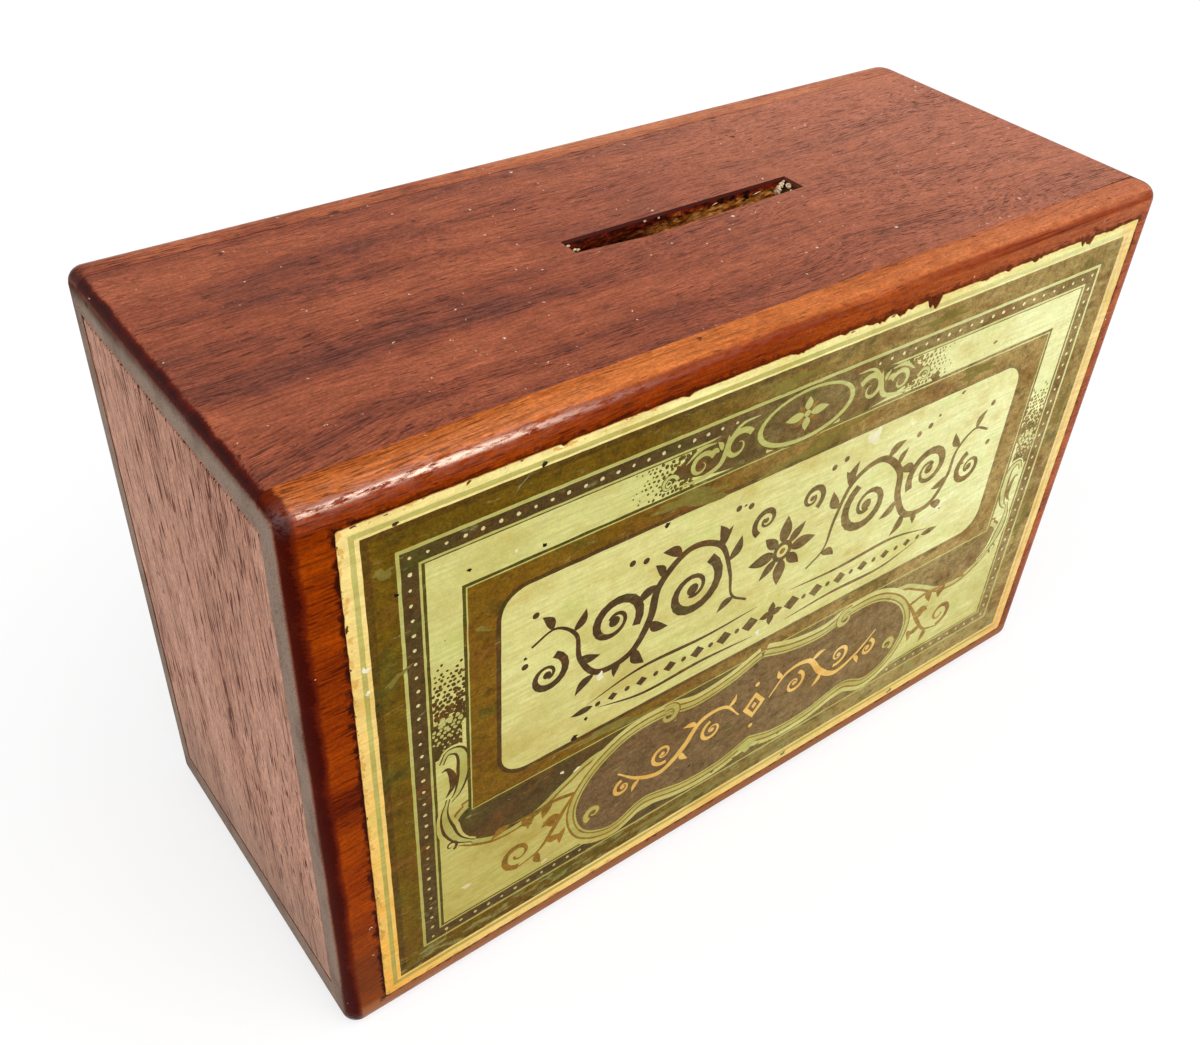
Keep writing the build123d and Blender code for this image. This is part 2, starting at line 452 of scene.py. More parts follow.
@dataclass(frozen=True)
class VarnishedTimber:
    """Mahogany under old varnish, with stained ends, worn edges and a raw inside. Painted shade darkens the
    faces that look along Y, the rounding between the front and the top and the roundings at the ends, and a
    painted sheen pales the wood towards the right end.
    """

    name: str
    grain: Grain = Grain.ALONG
    shift: tuple[float, float, float] = (0.0, 0.0, 0.0)
    light: Colour = srgb(206, 116, 58)
    middle: Colour = srgb(182, 94, 40)
    dark: Colour = srgb(128, 52, 22)
    pore: Colour = srgb(66, 24, 10)
    # Painted sheen towards the right end: its colour and its share.
    sheen_tone: Colour = srgb(186, 104, 62)
    sheen_share: float = 0.0
    # Painted shade on the faces that look along Y: how much, and the tint that darkens them.
    face_shade: float = 0.0
    face_shade_tint: Colour = srgb(184, 170, 84)
    end_grain: Colour = srgb(143, 124, 110)
    # The ends' darkening, crusted varnish and painted shade: its colour, share, reach and crispness, the
    # fringe round the stain, and the shares kept on upward faces and at the right end.
    edge: Colour = srgb(56, 6, 2)
    edge_share: float = 0.95
    edge_reach: float = 2.6
    crisp_stain_and_shade: float = 0.0
    fringe: Colour = srgb(96, 22, 8)
    top_stain_and_shade: float = 1.0
    right_stain_and_shade: float = 1.0
    # Painted shade on the rounding between the front and the top: its colour and share.
    run: Colour = srgb(126, 38, 6)
    rounding_shade_share: float = 0.0
    foot: Colour = srgb(112, 66, 38)
    foot_share: float = 0.25
    sill: Colour = srgb(158, 104, 68)
    sill_share: float = 0.0
    # The thin dark lines of painted shade along that rounding.
    crease: Colour = srgb(58, 16, 6)
    lip: Colour = srgb(62, 10, 2)
    lip_share: float = 0.0
    dust: Colour = srgb(240, 214, 196)
    pit: Colour = srgb(52, 34, 30)
    scratch: Colour = srgb(196, 140, 110)
    dirt: DirtLine | None = None
    raw: Colour = srgb(150, 104, 62)
    bend: float = 5.0
    figure_width: float = 8.0
    streak_length: float = 9.0
    streak_share: float = 0.35
    pore_length: float = 3.0
    pore_width: float = 0.22
    pore_limit: float = 0.63
    pore_share: float = 0.8
    grit: float = 0.8
    blotches: float = 0.0
    lustre_share: float = 0.25
    swathes: tuple[Swathe, ...] = ()
    roughness: float = 0.22
    ior: float = 1.12
    edge_varnish: float = 0.85
    dust_share: float = 0.12

    def swathe_mask(self, graph: Graph, vector: Signal, swathe: Swathe) -> Signal:
        """Gives one band: 1 at its middle line, fading with the square of the scaled distance.

        Args:
            graph: the material's graph.
            vector: the place in millimetres.
            swathe: the band.

        Returns:
            The mask.
        """
        centred = graph.place(vector, shift=(-swathe.x, -swathe.y, 0))
        shaped = graph.place(centred, (1, 1, 0), turn=(0, 0, -swathe.turn))
        scaled = graph.place(shaped, (2 / swathe.length, 2 / swathe.width, 0))
        squared = graph.vector_math("DOT_PRODUCT", scaled, scaled, output="Value")
        return graph.math("EXPONENT", squared * -1.0)

    def colours(self, graph: Graph, place: Signal, grain: dict[str, Signal]) -> Signal:
        """Builds the wood's colour from its figure, swathes, streaks and pores.

        Args:
            graph: the material's graph.
            place: the place in millimetres.
            grain: the wood's masks.

        Returns:
            The colour.
        """
        figure = grain["Figure"]
        for swathe in self.swathes:
            figure = self.swathe_mask(graph, place, swathe) * swathe.strength + figure
        streaked = graph.vary(grain["Streak"], self.streak_share, figure)
        shining = graph.vary(grain["Lustre"], self.lustre_share, streaked)
        wood = graph.ramp(shining, (0.3, self.dark), (0.5, self.middle), (0.68, self.light))
        x, y, _ = graph.split(place)
        # Painted sheen: the wood pales towards the right end, and its grain loses contrast there.
        towards_end = graph.step(y * 0.5 + x, -40.0, 80.0)
        wood = graph.mix(towards_end * self.sheen_share, wood, self.sheen_tone)
        mottle = graph.cloud(place, (0.45, 0.45, 0.45), 3.0, 0.6)
        clouds = graph.cloud(place, (4.5, 2.8, 2.8), 4.0, 0.6)
        contrast = towards_end * (-0.35 * self.grit) + self.grit
        factor = graph.vary(grain["Streak"], contrast * 0.55) * graph.vary(grain["Fibre"], contrast)
        factor = factor * graph.vary(mottle, self.grit) * graph.vary(clouds, 0.5)
        wood = graph.scale(wood, factor)
        wood = graph.mix(graph.step(clouds, 0.52, 0.68) * self.blotches, wood, self.dark)
        return graph.mix(grain["Pores"] * self.pore_share, wood, self.pore)

    def stains(self, graph: Graph, place: Signal, facing: list[Signal], wood: Signal) -> Signal:
        """Adds a dull foot, painted shade on the rounding between the front and the top, the slot's lip and
        the dirt line.

        Args:
            graph: the material's graph.
            place: the place in millimetres.
            facing: how far the surface faces along each axis.
            wood: the colour so far.

        Returns:
            The stained colour.
        """
        x, y, z = graph.split(place)
        wood = graph.mix(graph.step(z, 34.0, 4.0) * self.foot_share, wood, self.foot)
        wood = graph.mix(graph.step(z, 5.0, 3.4) * self.sill_share, wood, self.sill)
        # Painted shade: the rounding between the front and the top darkens in drawn-out streaks, with thin
        # dark lines along it towards the right.
        rounding = graph.step(facing[1], 0.55, 0.75) * graph.step(facing[2], 0.15, 0.4)
        drawn = graph.cloud(place, (22, 3, 1.2), 3.0, 0.6)
        wood = graph.mix(rounding * graph.step(drawn, 0.28, 0.55) * self.rounding_shade_share, wood, self.run)
        crease = graph.step(graph.cloud(place, (30, 0.5, 0.5)), 0.56, 0.62) * rounding
        wood = graph.mix(crease * graph.step(x, -10.0, 20.0) * (0.8 * self.rounding_shade_share), wood, self.crease)
        if self.lip_share:
            lip = graph.step(facing[2], 0.97, 0.8) * graph.step(facing[0], 0.6, 0.3)
            for part, inner, outer in ((x, 38.0, 42.0), (y, 8.0, 10.0)):
                lip = lip * graph.step(abs(part), outer, inner)
            wood = graph.mix(lip * self.lip_share, wood, self.lip)
        if self.dirt:
            front = self.dirt.mask(graph, place) * graph.step(facing[1], 0.5, 0.9)
            wood = graph.mix(front, wood, self.dirt.colour)
        return wood

    def grimy_ends(self, graph: Graph, place: Signal, grain: dict[str, Signal], blotch: Signal) -> Signal:
        """Builds the colour of bare end grain: dull, blotched with dark dirt, and darker towards the top.

        Args:
            graph: the material's graph.
            place: the place in millimetres.
            grain: the wood's masks.
            blotch: slow noise.

        Returns:
            The colour.
        """
        _, y, z = graph.split(place)
        grime = graph.mix(graph.step(blotch, 0.42, 0.75), self.end_grain,
                          graph.mix(0.35, self.end_grain, self.edge))
        crown = graph.step(y * 0.025 + graph.vary(blotch, 1.2, z), 95.2, 98.2)
        grime = graph.mix(crown * 0.92, grime, self.edge)
        return graph.mix(grain["Pores"] * 0.4, graph.scale(grime, graph.vary(grain["Fibre"], 0.5)), self.pore)

    def darken_ends(self, graph: Graph, grain: dict[str, Signal], near_end: Signal, facing: list[Signal],
                   x: Signal, cut: Signal | float, blotch: Signal, wood: Signal) -> Signal:
        """Darkens the ends of a board: dark, crusted varnish along their edges, and painted shade on the
        roundings that turn towards the ends.
            near_end: 1 at an end's edges, falling off inwards.
            facing: how far the surface faces along each axis.
            x: the place along the box.
            cut: 1 on end grain.
            blotch: slow noise.
            wood: the colour so far.

        Returns:
            The stained colour.
        """
        darkened = near_end * (blotch * 0.9 + 0.55)
        if self.crisp_stain_and_shade:
            broken = graph.vary(grain["Streak"], 0.5, darkened)
            rim = graph.step(broken, 0.5, 0.74) * self.crisp_stain_and_shade * (1.0 - cut)
            wood = graph.mix(rim, wood, graph.scale(self.fringe, graph.vary(grain["Streak"], 1.3)))
            # Painted shade: the roundings darken as they turn towards the end.
            rounding = graph.step(graph.vary(blotch, 0.9, facing[0]), 0.2, 0.7) * (1.0 - cut)
            rounding = rounding * graph.vary(grain["Streak"], 0.8, 0.85)
            darkened = graph.math("MAXIMUM", graph.step(broken, 0.74, 0.9), rounding) * self.crisp_stain_and_shade
        darkened = darkened * (cut * -0.5 + 1.0)
        darkened = darkened * (graph.step(x, 55.0, 72.0) * (self.right_stain_and_shade - 1.0) + 1.0)
        darkened = darkened * (1.0 - graph.step(facing[2], 0.5, 0.9) * (1.0 - self.top_stain_and_shade))
        # Dark crusted varnish and painted shade share this colour.
        crust = graph.scale(self.edge, graph.vary(grain["Fibre"], 1.4))
        return graph.mix(graph.math("MULTIPLY", darkened, self.edge_share, clamp=True), wood, crust)

    def material(self, effects: Effects) -> bpy.types.Material:
        """Builds the finish, from the wood's colour to the relief of its varnish.

        Args:
            effects: the shared node groups.

        Returns:
            The new material.
        """
        material, graph, place = new_material(self.name)
        grain = graph.use(effects.timber, **{
            "Vector": graph.place(place, shift=self.shift, turn=self.grain.value), "Bend": self.bend,
            "Figure Width": self.figure_width, "Streak Length": self.streak_length,
            "Pore Length": self.pore_length, "Pore Width": self.pore_width, "Pore Limit": self.pore_limit})
        wood = self.colours(graph, place, grain)

        x = graph.split(place)[0]
        facing = [abs(part) for part in graph.split(graph.give("ShaderNodeNewGeometry", output="Normal"))]
        # Painted shade: faces that look along Y are tinted darker and more orange, less so towards the right
        # end.
        paling = graph.step(x, -20.0, 75.0) * -0.6 + 1.0
        wood = graph.tint(graph.step(facing[1], 0.35, 0.95) * paling * self.face_shade, wood, self.face_shade_tint)
        wood = self.stains(graph, place, facing, wood)

        edges = graph.use(effects.edges, Vector=place, Reach=self.edge_reach)
        blotch = graph.cloud(place, (9, 5, 9), 3.0, 0.6)
        cut = 0.0
        if self.grain is Grain.ALONG:
            cut = graph.step(facing[0], 0.86, 0.99) * graph.step(abs(x), 60.0, 70.0)
        wood = graph.mix(cut, wood, self.grimy_ends(graph, place, grain, blotch))
        wood = self.darken_ends(graph, grain, edges["End Edge"], facing, x, cut, blotch, wood)

        raw = graph.step(graph.vary(blotch, 1.2, edges["Depth"]), 1.3, 2.0)
        raw_wood = graph.mix(grain["Pores"] * 0.6, self.raw, graph.mix(0.5, self.raw, self.pore))
        raw_wood = graph.mix(grain["Streak"] * 0.6, raw_wood, graph.mix(0.4, self.raw, self.dark))
        wood = graph.mix(raw, wood, raw_wood)

        bare = graph.math("MAXIMUM", raw, cut)
        varnished = 1.0 - bare
        dust = graph.use(effects.specks, Vector=place, Spacing=1.5, Size=0.19,
                         Share=graph.step(blotch, 0.4, 0.62) * self.dust_share)["Mask"] * varnished
        pits = graph.use(effects.specks, Vector=graph.place(place, shift=(31, 17, 5)),
                         Spacing=4.5, Size=0.42, Share=0.25)["Mask"]
        worn = graph.use(effects.hairlines, Vector=place, Turn=0.7, Width=0.006,
                         Share=0.4)["Mask"] * varnished
        for mask, share, hue in ((dust, 0.85, self.dust), (pits, 0.75, self.pit), (worn, 0.25, self.scratch)):
            wood = graph.mix(mask * share, wood, hue)

        uneven = graph.cloud(place, (6, 3.5, 6), 3.0)
        peel = graph.cloud(place, (1.1, 0.5, 0.5), 3.0, 0.6)
        gloss = graph.vary(uneven, 0.16, self.roughness) + bare * 0.55
        gloss = graph.math("MULTIPLY_ADD", worn, 0.2, gloss, clamp=True)
        relief = grain["Pores"] * -0.45 + grain["Fibre"] * 0.1 + peel * (edges["Long Edge"] * 5.0 + 0.5)
        relief = relief + uneven * 0.8 + pits * -0.9 + dust
        crazed = graph.step(graph.cloud(place, (2.6, 0.5, 0.5), 4.0, 0.7), 0.38, 0.56)
        build_up = edges["Long Edge"] * varnished * crazed * (graph.step(x, -58.0, -24.0) * -0.85 + 1.0)
        finish_surface(graph, {"Base Color": wood, "Roughness": gloss, "IOR": self.ior,
                               "Coat Weight": build_up * self.edge_varnish, "Coat Roughness": 0.31,
                               "Coat IOR": 1.5}, relief, 0.03)
        return material


@dataclass(frozen=True)
class TornWood:
    """Raw wood of the sawn coin slot, with varnish that ran over its upper part."""

    name: str = "torn_slot_wood"
    fibre_light: Colour = srgb(228, 168, 100)
    fibre_middle: Colour = srgb(164, 94, 30)
    fibre_dark: Colour = srgb(84, 28, 6)
    varnish: Colour = srgb(112, 24, 4)
    soot: Colour = srgb(16, 6, 4)
    lip: float = 98.5
    varnish_depth: float = 1.35

    def material(self) -> bpy.types.Material:
        """Builds the finish, from the varnished lip down to the fibres.

        Returns:
            The new material.
        """
        material, graph, place = new_material(self.name)
        slanted = graph.place(place, (1, 1, 1), (0, 0, 0), (0, 5, 0))
        fibre = graph.cloud(slanted, (1.5, 0.5, 0.5), 5.0, 0.75)
        wood = graph.ramp(fibre, (0.34, self.fibre_dark), (0.5, self.fibre_middle), (0.66, self.fibre_light))
        blotch = graph.cloud(place, (2.6, 2, 1.2), 4.0, 0.65)
        x, _, z = graph.split(place)
        below = self.lip - z
        run = (blotch - 0.5) * -4.0 + below
        bare = graph.step(run, self.varnish_depth - 0.5, self.varnish_depth + 0.3)
        wood = graph.mix(bare, graph.mix(graph.step(blotch, 0.42, 0.62), self.varnish, self.soot), wood)
        left = graph.step(graph.vary(blotch, 8.0, x), 3.0, -6.0)
        sooty = graph.mix(graph.step(fibre, 0.4, 0.65), self.soot, self.varnish)
        wood = graph.mix(left * 0.95, wood, sooty)
        finish_surface(graph, {"Base Color": wood, "Roughness": bare * 0.35 + 0.45, "IOR": 1.05}, fibre, 0.15)
        return material


@dataclass(frozen=True)
class Splinter:
    """Pale, freshly broken wood of the splinters and crumbs in the slot."""

    name: str = "pale_splinters"
    pale: Colour = srgb(232, 212, 178)
    shade: Colour = srgb(150, 108, 66)

    def material(self) -> bpy.types.Material:
        """Builds the finish, streaked along the splinters.

        Returns:
            The new material.
        """
        material, graph, place = new_material(self.name)
        streak = graph.cloud(place, (1.2, 0.3, 0.3), 3.0, 0.6)
        colour = graph.ramp(streak, (0.35, self.shade), (0.6, self.pale))
        finish_surface(graph, {"Base Color": colour, "Roughness": streak * 0.2 + 0.6, "IOR": 1.4}, streak,
                       0.05)
        return material


@dataclass(frozen=True)
class AgedBrass:
    """Dull brass of the hatch screws, tarnished in blotches, with fine scratches."""

    name: str = "aged_brass"
    bright: Colour = srgb(206, 172, 98)
    dull: Colour = srgb(120, 92, 48)
    tarnish: Colour = srgb(66, 50, 32)
    scratch: Colour = srgb(228, 200, 130)

    def material(self, effects: Effects) -> bpy.types.Material:
        """Builds the finish.

        Args:
            effects: the shared node groups.

        Returns:
            The new material.
        """
        material, graph, place = new_material(self.name)
        blotch = graph.cloud(place, (1.4, 1.4, 1.4), 4.0, 0.6)
        colour = graph.ramp(blotch, (0.32, self.tarnish), (0.48, self.dull), (0.66, self.bright))
        scratch = graph.use(
            effects.hairlines, Vector=graph.place(place, (6, 6, 6)), Turn=0.3, Width=0.03, Share=0.6)
        colour = graph.mix(scratch["Mask"] * 0.5, colour, self.scratch)
        fine = graph.cloud(place, (1 / 3, 1 / 3, 1 / 3), 3.0)
        relief = scratch["Mask"] * -0.5 + fine
        finish_surface(graph, {"Base Color": colour, "Metallic": graph.step(blotch, 0.2, 0.45),
                               "Roughness": fine * 0.3 + 0.25}, relief, 0.02)
        return material


class Ink(Enum):
    """The printed colours of the label, and those that wear has left on it."""

    GOLD = srgb(248, 238, 165)
    SAGE = srgb(192, 184, 106)
    UMBER = srgb(92, 68, 18)
    OLIVE = srgb(108, 82, 14)
    LIME = srgb(188, 186, 110)
    SEPIA = srgb(86, 66, 34)
    CARTOUCHE = srgb(116, 90, 58)
    IVORY = srgb(220, 212, 156)
    FIELD = srgb(210, 206, 132)
    MOSS = srgb(86, 76, 22)
    PANEL = srgb(219, 214, 142)
    BRONZE = srgb(122, 88, 18)
    SHADE = srgb(86, 62, 28)
    SCROLL = srgb(80, 58, 34)
    LEAF = srgb(148, 108, 38)
    GILT = srgb(240, 196, 110)
    RUBBED = srgb(128, 116, 52)
    CRUST = srgb(104, 56, 14)
    FOXED = srgb(232, 186, 104)
    BARE = srgb(240, 238, 214)
    SOOT = srgb(36, 26, 20)
    PAPER = srgb(196, 150, 92)


Outline = np.ndarray


def curve(points: list[tuple[float, float]], per_span: int = 8, closed: bool = False) -> np.ndarray:
    """Draws a smooth line through points.

    Each span is a cubic: its two ends are points, and the slope at a point is half the step from
    the point before it to the point after it.

    Args:
        points: x and z of the points in order.
        per_span: samples from one point to the next.
        closed: whether the last point joins the first.

    Returns:
        The line's samples, one row each.
    """
    knots = np.array(points, float)
    ends = (knots[-1:], knots[:1]) if closed else (2 * knots[:1] - knots[1:2], 2 * knots[-1:] - knots[-2:-1])
    padded = np.vstack([ends[0], knots, ends[1]] + ([knots[1:2]] if closed else []))
    t = np.linspace(0, 1, per_span, endpoint=False)[None, :, None]
    before, start, stop, after = (padded[k:len(padded) - 3 + k, None, :] for k in range(4))
    slope_start, slope_stop = (stop - before) / 2, (after - start) / 2
    line = (start * (1 + 2 * t) * (1 - t) ** 2 + slope_start * t * (1 - t) ** 2
            + stop * t * t * (3 - 2 * t) - slope_stop * t * t * (1 - t)).reshape(-1, 2)
    return line if closed else np.vstack([line, knots[-1:]])


def spiral(x: float, z: float, radius: float, start: float, turns: float, inner: float = 0.22) -> np.ndarray:
    """Draws a spiral inwards.

    The angle grows evenly and the radius falls from its full size to the inner share of it, a
    little faster at first.

    Args:
        x, z: the spiral's centre.
        radius: the outer radius.
        start: the first angle in degrees.
        turns: turns made, negative for clockwise.
        inner: the last radius as a share of the first.

    Returns:
        The spiral's samples from the outside in.
    """
    t = np.linspace(0, 1, int(16 * abs(turns)) + 4)
    angle = math.radians(start) + 2 * math.pi * turns * t
    distance = radius * (1 - (1 - inner) * t ** 0.85)
    return np.stack([x + distance * np.cos(angle), z + distance * np.sin(angle)], 1)


class Taper(Enum):
    """How a stroke's width runs along it, as the powers of its rise and its fall."""

    EVEN = (0.0, 0.0)
    TAIL = (0.0, 0.8)
    BOTH = (0.6, 0.6)


def stroke(path: np.ndarray, width: float, taper: Taper = Taper.BOTH, least: float = 0.12) -> Outline:
    """Gives a line its width.

    The half width at a share t of the line's length is half the width times (2t) to the rise and
    (2 - 2t) to the fall, each at most 1, and it is laid off on both sides along the normal.

    Args:
        path: the line's samples.
        width: the full width.
        taper: how the ends run out.
        least: the least share of the width.

    Returns:
        The closed outline.
    """
    steps = np.linalg.norm(np.diff(path, axis=0), axis=1)
    moved = steps > 1e-6
    path, steps = path[np.append(moved, True)], steps[moved]
    t = np.concatenate([[0], np.cumsum(steps)]) / steps.sum()
    rise, fall = taper.value
    share = (2 * t).clip(0, 1) ** rise * (2 - 2 * t).clip(0, 1) ** fall
    half = width / 2 * np.maximum(share, least)
    slope = np.gradient(path, axis=0)
    slope /= np.linalg.norm(slope, axis=1, keepdims=True)
    across = np.stack([-slope[:, 1], slope[:, 0]], 1) * half[:, None]
    return np.vstack([path + across, (path - across)[::-1]])


def leaf(x: float, z: float, length: float, width: float, turn: float, sway: float = 0.12) -> Outline:
    """Draws a pointed leaf from its foot.

    Along the length the half width is the sine of a half turn, pulled towards the foot, and the
    middle line sways to one side by the same sine.

    Args:
        x, z: the leaf's foot.
        length, width: its size.
        turn: its direction in degrees.
        sway: the bow of its middle line, as a share of the length.

    Returns:
        The closed outline.
    """
    t = np.linspace(0, 1, 9)
    bow = sway * length * np.sin(math.pi * t)
    half = width / 2 * np.sin(math.pi * t ** 0.8)
    u = np.concatenate([t, t[-2:0:-1]]) * length
    v = np.concatenate([bow + half, (bow - half)[-2:0:-1]])
    angle = math.radians(turn)
    return np.stack([x + u * math.cos(angle) - v * math.sin(angle),
                     z + u * math.sin(angle) + v * math.cos(angle)], 1)


def oval(x: float, z: float, across: float, up: float, sides: int = 12) -> Outline:
    """Draws an ellipse from its two radii."""
    angle = np.linspace(0, 2 * math.pi, sides, endpoint=False)
    return np.stack([x + across * np.cos(angle), z + up * np.sin(angle)], 1)


def box_outline(left: float, bottom: float, right: float, top: float, radius: float = 0.0) -> Outline:
    """Draws a rectangle whose corners are quarter circles of one radius.

    Args:
        left, bottom, right, top: its sides.
        radius: the corners' radius.

    Returns:
        The closed outline.
    """
    if radius == 0:
        return np.array([(left, bottom), (right, bottom), (right, top), (left, top)], float)
    quarter = np.linspace(0, math.pi / 2, 8)
    corners = [(right, top, 1, 1, 0), (left, top, -1, 1, 1), (left, bottom, -1, -1, 2),
               (right, bottom, 1, -1, 3)]
    parts = [np.stack([x - sx * radius + radius * np.cos(quarter + k * math.pi / 2),
                       z - sz * radius + radius * np.sin(quarter + k * math.pi / 2)], 1)
             for x, z, sx, sz, k in corners]
    return np.vstack(parts)


def wander(distance: np.ndarray, seed: int, span: float) -> np.ndarray:
    """Gives a smooth random curve between about -1 and 1: five sines of random pitch and phase.

    Args:
        distance: the places along it.
        seed: the start of the random numbers.
        span: what the waves' lengths are shares of, from 0.5 to 2.5.

    Returns:
        Its value at each place.
    """
    rng = np.random.default_rng(seed)
    pitch = 2 * math.pi / (span * rng.uniform(0.5, 2.5, 5))
    phase = rng.uniform(0, 2 * math.pi, 5)
    return np.sin(distance[:, None] * pitch + phase).mean(1) * 1.6


def soften(outline: Outline, seed: int, size: float = 0.035, spacing: float = 1.4) -> Outline:
    """Makes a printed edge unsteady: long sides are divided and each point strays along the normal.

    Args:
        outline: the printed outline.
        seed: the start of the random numbers.
        size: how far it strays.
        spacing: the longest side that is left whole.

    Returns:
        The unsteady outline.
    """
    after = np.roll(outline, -1, axis=0)
    length = np.linalg.norm(after - outline, axis=1)
    parts = np.maximum(1, np.ceil(length / spacing)).astype(int)
    side = np.repeat(np.arange(len(outline)), parts)
    number = np.arange(len(side)) - np.repeat(np.cumsum(parts) - parts, parts)
    t = (number / parts[side])[:, None]
    points = outline[side] * (1 - t) + after[side] * t
    slope = np.roll(points, -1, axis=0) - np.roll(points, 1, axis=0)
    slope /= np.maximum(np.linalg.norm(slope, axis=1, keepdims=True), 1e-9)
    run = np.cumsum(np.linalg.norm(points - np.roll(points, 1, axis=0), axis=1))
    return points + np.stack([slope[:, 1], -slope[:, 0]], 1) * (wander(run, seed, 4.0) * size)[:, None]


def blot(x: float, z: float, across: float, up: float, seed: int, rough: float = 0.35,
         turn: float = 0.0) -> Outline:
    """Draws a ragged spot: an ellipse whose radius strays by a few random waves round it.

    Args:
        x, z: the spot's middle.
        across, up: its radii.
        seed: the start of the random numbers.
        rough: how far the radius strays, as a share.
        turn: its slant in degrees.

    Returns:
        The closed outline.
    """
    rng = np.random.default_rng(seed)
    sides = int(np.clip(8 + 5 * max(across, up), 9, 44))
    angle = np.linspace(0, 2 * math.pi, sides, endpoint=False)
    waves = np.arange(2, 7)
    phase = rng.uniform(0, 2 * math.pi, len(waves))
    stray = (np.sin(angle[:, None] * waves + phase) / waves ** 0.5).sum(1) * rough / 2
    radius = 1 + stray
    u, v = across * radius * np.cos(angle), up * radius * np.sin(angle)
    slant = math.radians(turn)
    return np.stack([x + u * math.cos(slant) - v * math.sin(slant),
                     z + u * math.sin(slant) + v * math.cos(slant)], 1)


def inside(points: np.ndarray, outline: Outline) -> np.ndarray:
    """Says which points lie in a closed outline.

    A side that passes a point's height counts 1 going up with the point on its left, and -1 going
    down with it on its right. The point is inside where the sum isn't 0.

    Args:
        points: x and z of the points.
        outline: the closed outline.

    Returns:
        True for each point inside.
    """
    x, z = points[:, :1], points[:, 1:]
    ax, az = outline.T
    bx, bz = np.roll(outline, -1, axis=0).T
    side = (bx - ax) * (z - az) - (x - ax) * (bz - az)
    up = (az <= z) & (bz > z) & (side > 0)
    down = (az > z) & (bz <= z) & (side < 0)
    return up.sum(1) != down.sum(1)


@dataclass(kw_only=True)
class Artwork:
    """Inks as closed outlines, laid one over the other, about the artwork's middle."""

    middle: float = field(init=False)
    net: float = 0.01
    patches: list[tuple[Ink, Outline]] = field(default_factory=list)

    def fill(self, ink: Ink, outline: Outline) -> None:
        """Lays one outline of ink."""
        self.patches.append((ink, outline + np.array([self.middle, 0.0])))

    def pair(self, ink: Ink, outline: Outline) -> None:
        """Lays an outline and its mirror image across the middle."""
        self.fill(ink, outline)
        self.fill(ink, outline * MIRRORED)

    def line(self, ink: Ink, points: list[tuple[float, float]], width: float, taper: Taper = Taper.BOTH,
             least: float = 0.12) -> None:
        """Lays a pair of smooth strokes through points."""
        self.pair(ink, stroke(curve(points), width, taper, least))

    def leaves(self, ink: Ink, *rows: tuple[float, ...]) -> None:
        """Lays a pair of leaves for each row of a foot, a length, a width, a turn and perhaps a sway."""
        for row in rows:
            self.pair(ink, leaf(*row))

    def star(self, ink: Ink, z: float, foot: tuple[float, float], turns: tuple[int, ...], length: float,
             width: float) -> None:
        """Lays straight leaves round a point of the middle line, their feet on an ellipse about it."""
        for turn in turns:
            x, up = foot[0] * math.cos(math.radians(turn)), foot[1] * math.sin(math.radians(turn))
            self.fill(ink, leaf(x, z + up, length, width, turn, 0.0))

    def curl(self, ink: Ink, place: tuple[float, ...], width: float, least: float = 0.12,
             inner: float = 0.22) -> None:
        """Lays a pair of spirals that thin inwards, from a centre, a radius, a first angle and turns."""
        self.pair(ink, stroke(spiral(*place, inner), width, Taper.TAIL, least))

    def blots(self, ink: Ink, rows: tuple[tuple[float, ...], ...], seed: int, rough: float,
              shift: float = 0.0) -> None:
        """Lays a ragged spot for each row of a place, two radii and a turn."""
        for number, (x, z, across, up, turn) in enumerate(rows):
            self.fill(ink, blot(x + shift, z, across, up, seed + number, rough, turn))

    def cut(self, sheet: Outline) -> tuple[np.ndarray, np.ndarray, np.ndarray]:
        """Cuts the sheet into triangles along every edge of ink.

        The points are brought onto a fine net, so that near ones become one, and the edges are
        joined into one plane triangulation. Each triangle takes the topmost ink whose outline
        holds its middle, and those outside the sheet are dropped.

        Args:
            sheet: the label's own outline.

        Returns:
            The points, the triangles and each triangle's linear colour.
        """
        outlines = [sheet] + [outline for _, outline in self.patches]
        points = np.vstack(outlines)
        first = np.cumsum([0] + [len(outline) for outline in outlines[:-1]])
        edges = np.vstack([np.stack([start + np.arange(len(o)), start + (np.arange(len(o)) + 1) % len(o)], 1)
                           for start, o in zip(first, outlines)])
        points, merged = np.unique(np.round(points / self.net) * self.net, axis=0, return_inverse=True)
        edges = merged.ravel()[edges]
        edges = np.unique(np.sort(edges[edges[:, 0] != edges[:, 1]], axis=1), axis=0)
        made = delaunay_2d_cdt(points.tolist(), edges.tolist(), [], 0, 1e-4, False)
        corners = np.array([tuple(point) for point in made[0]])
        triangles = np.array([tuple(face) for face in made[2]])
        centres = corners[triangles].mean(1)
        kept = inside(centres, sheet)
        triangles, centres = triangles[kept], centres[kept]
        inks = np.tile(np.array(Ink.PAPER.value), (len(triangles), 1))
        for ink, outline in self.patches:
            low, high = outline.min(0), outline.max(0)
            near = np.flatnonzero(((centres >= low) & (centres <= high)).all(1))
            inks[near[inside(centres[near], outline)]] = ink.value
        used, triangles = np.unique(triangles, return_inverse=True)
        return corners[used], triangles.reshape(-1, 3), inks


def add_piece(name: str, points: np.ndarray, faces: list, material: bpy.types.Material) -> bpy.types.Object:
    """Makes a mesh object at the origin.

    Args:
        name: the piece's name.
        points: its points in millimetres.
        faces: point numbers of each face.
        material: its finish.

    Returns:
        The new object.
    """
    mesh = bpy.data.meshes.new(name)
    mesh.from_pydata((points / METRE).tolist(), [], faces)
    mesh.materials.append(material)
    mesh.update()
    piece = bpy.data.objects.new(name, mesh)
    bpy.context.scene.collection.objects.link(piece)
    return piece


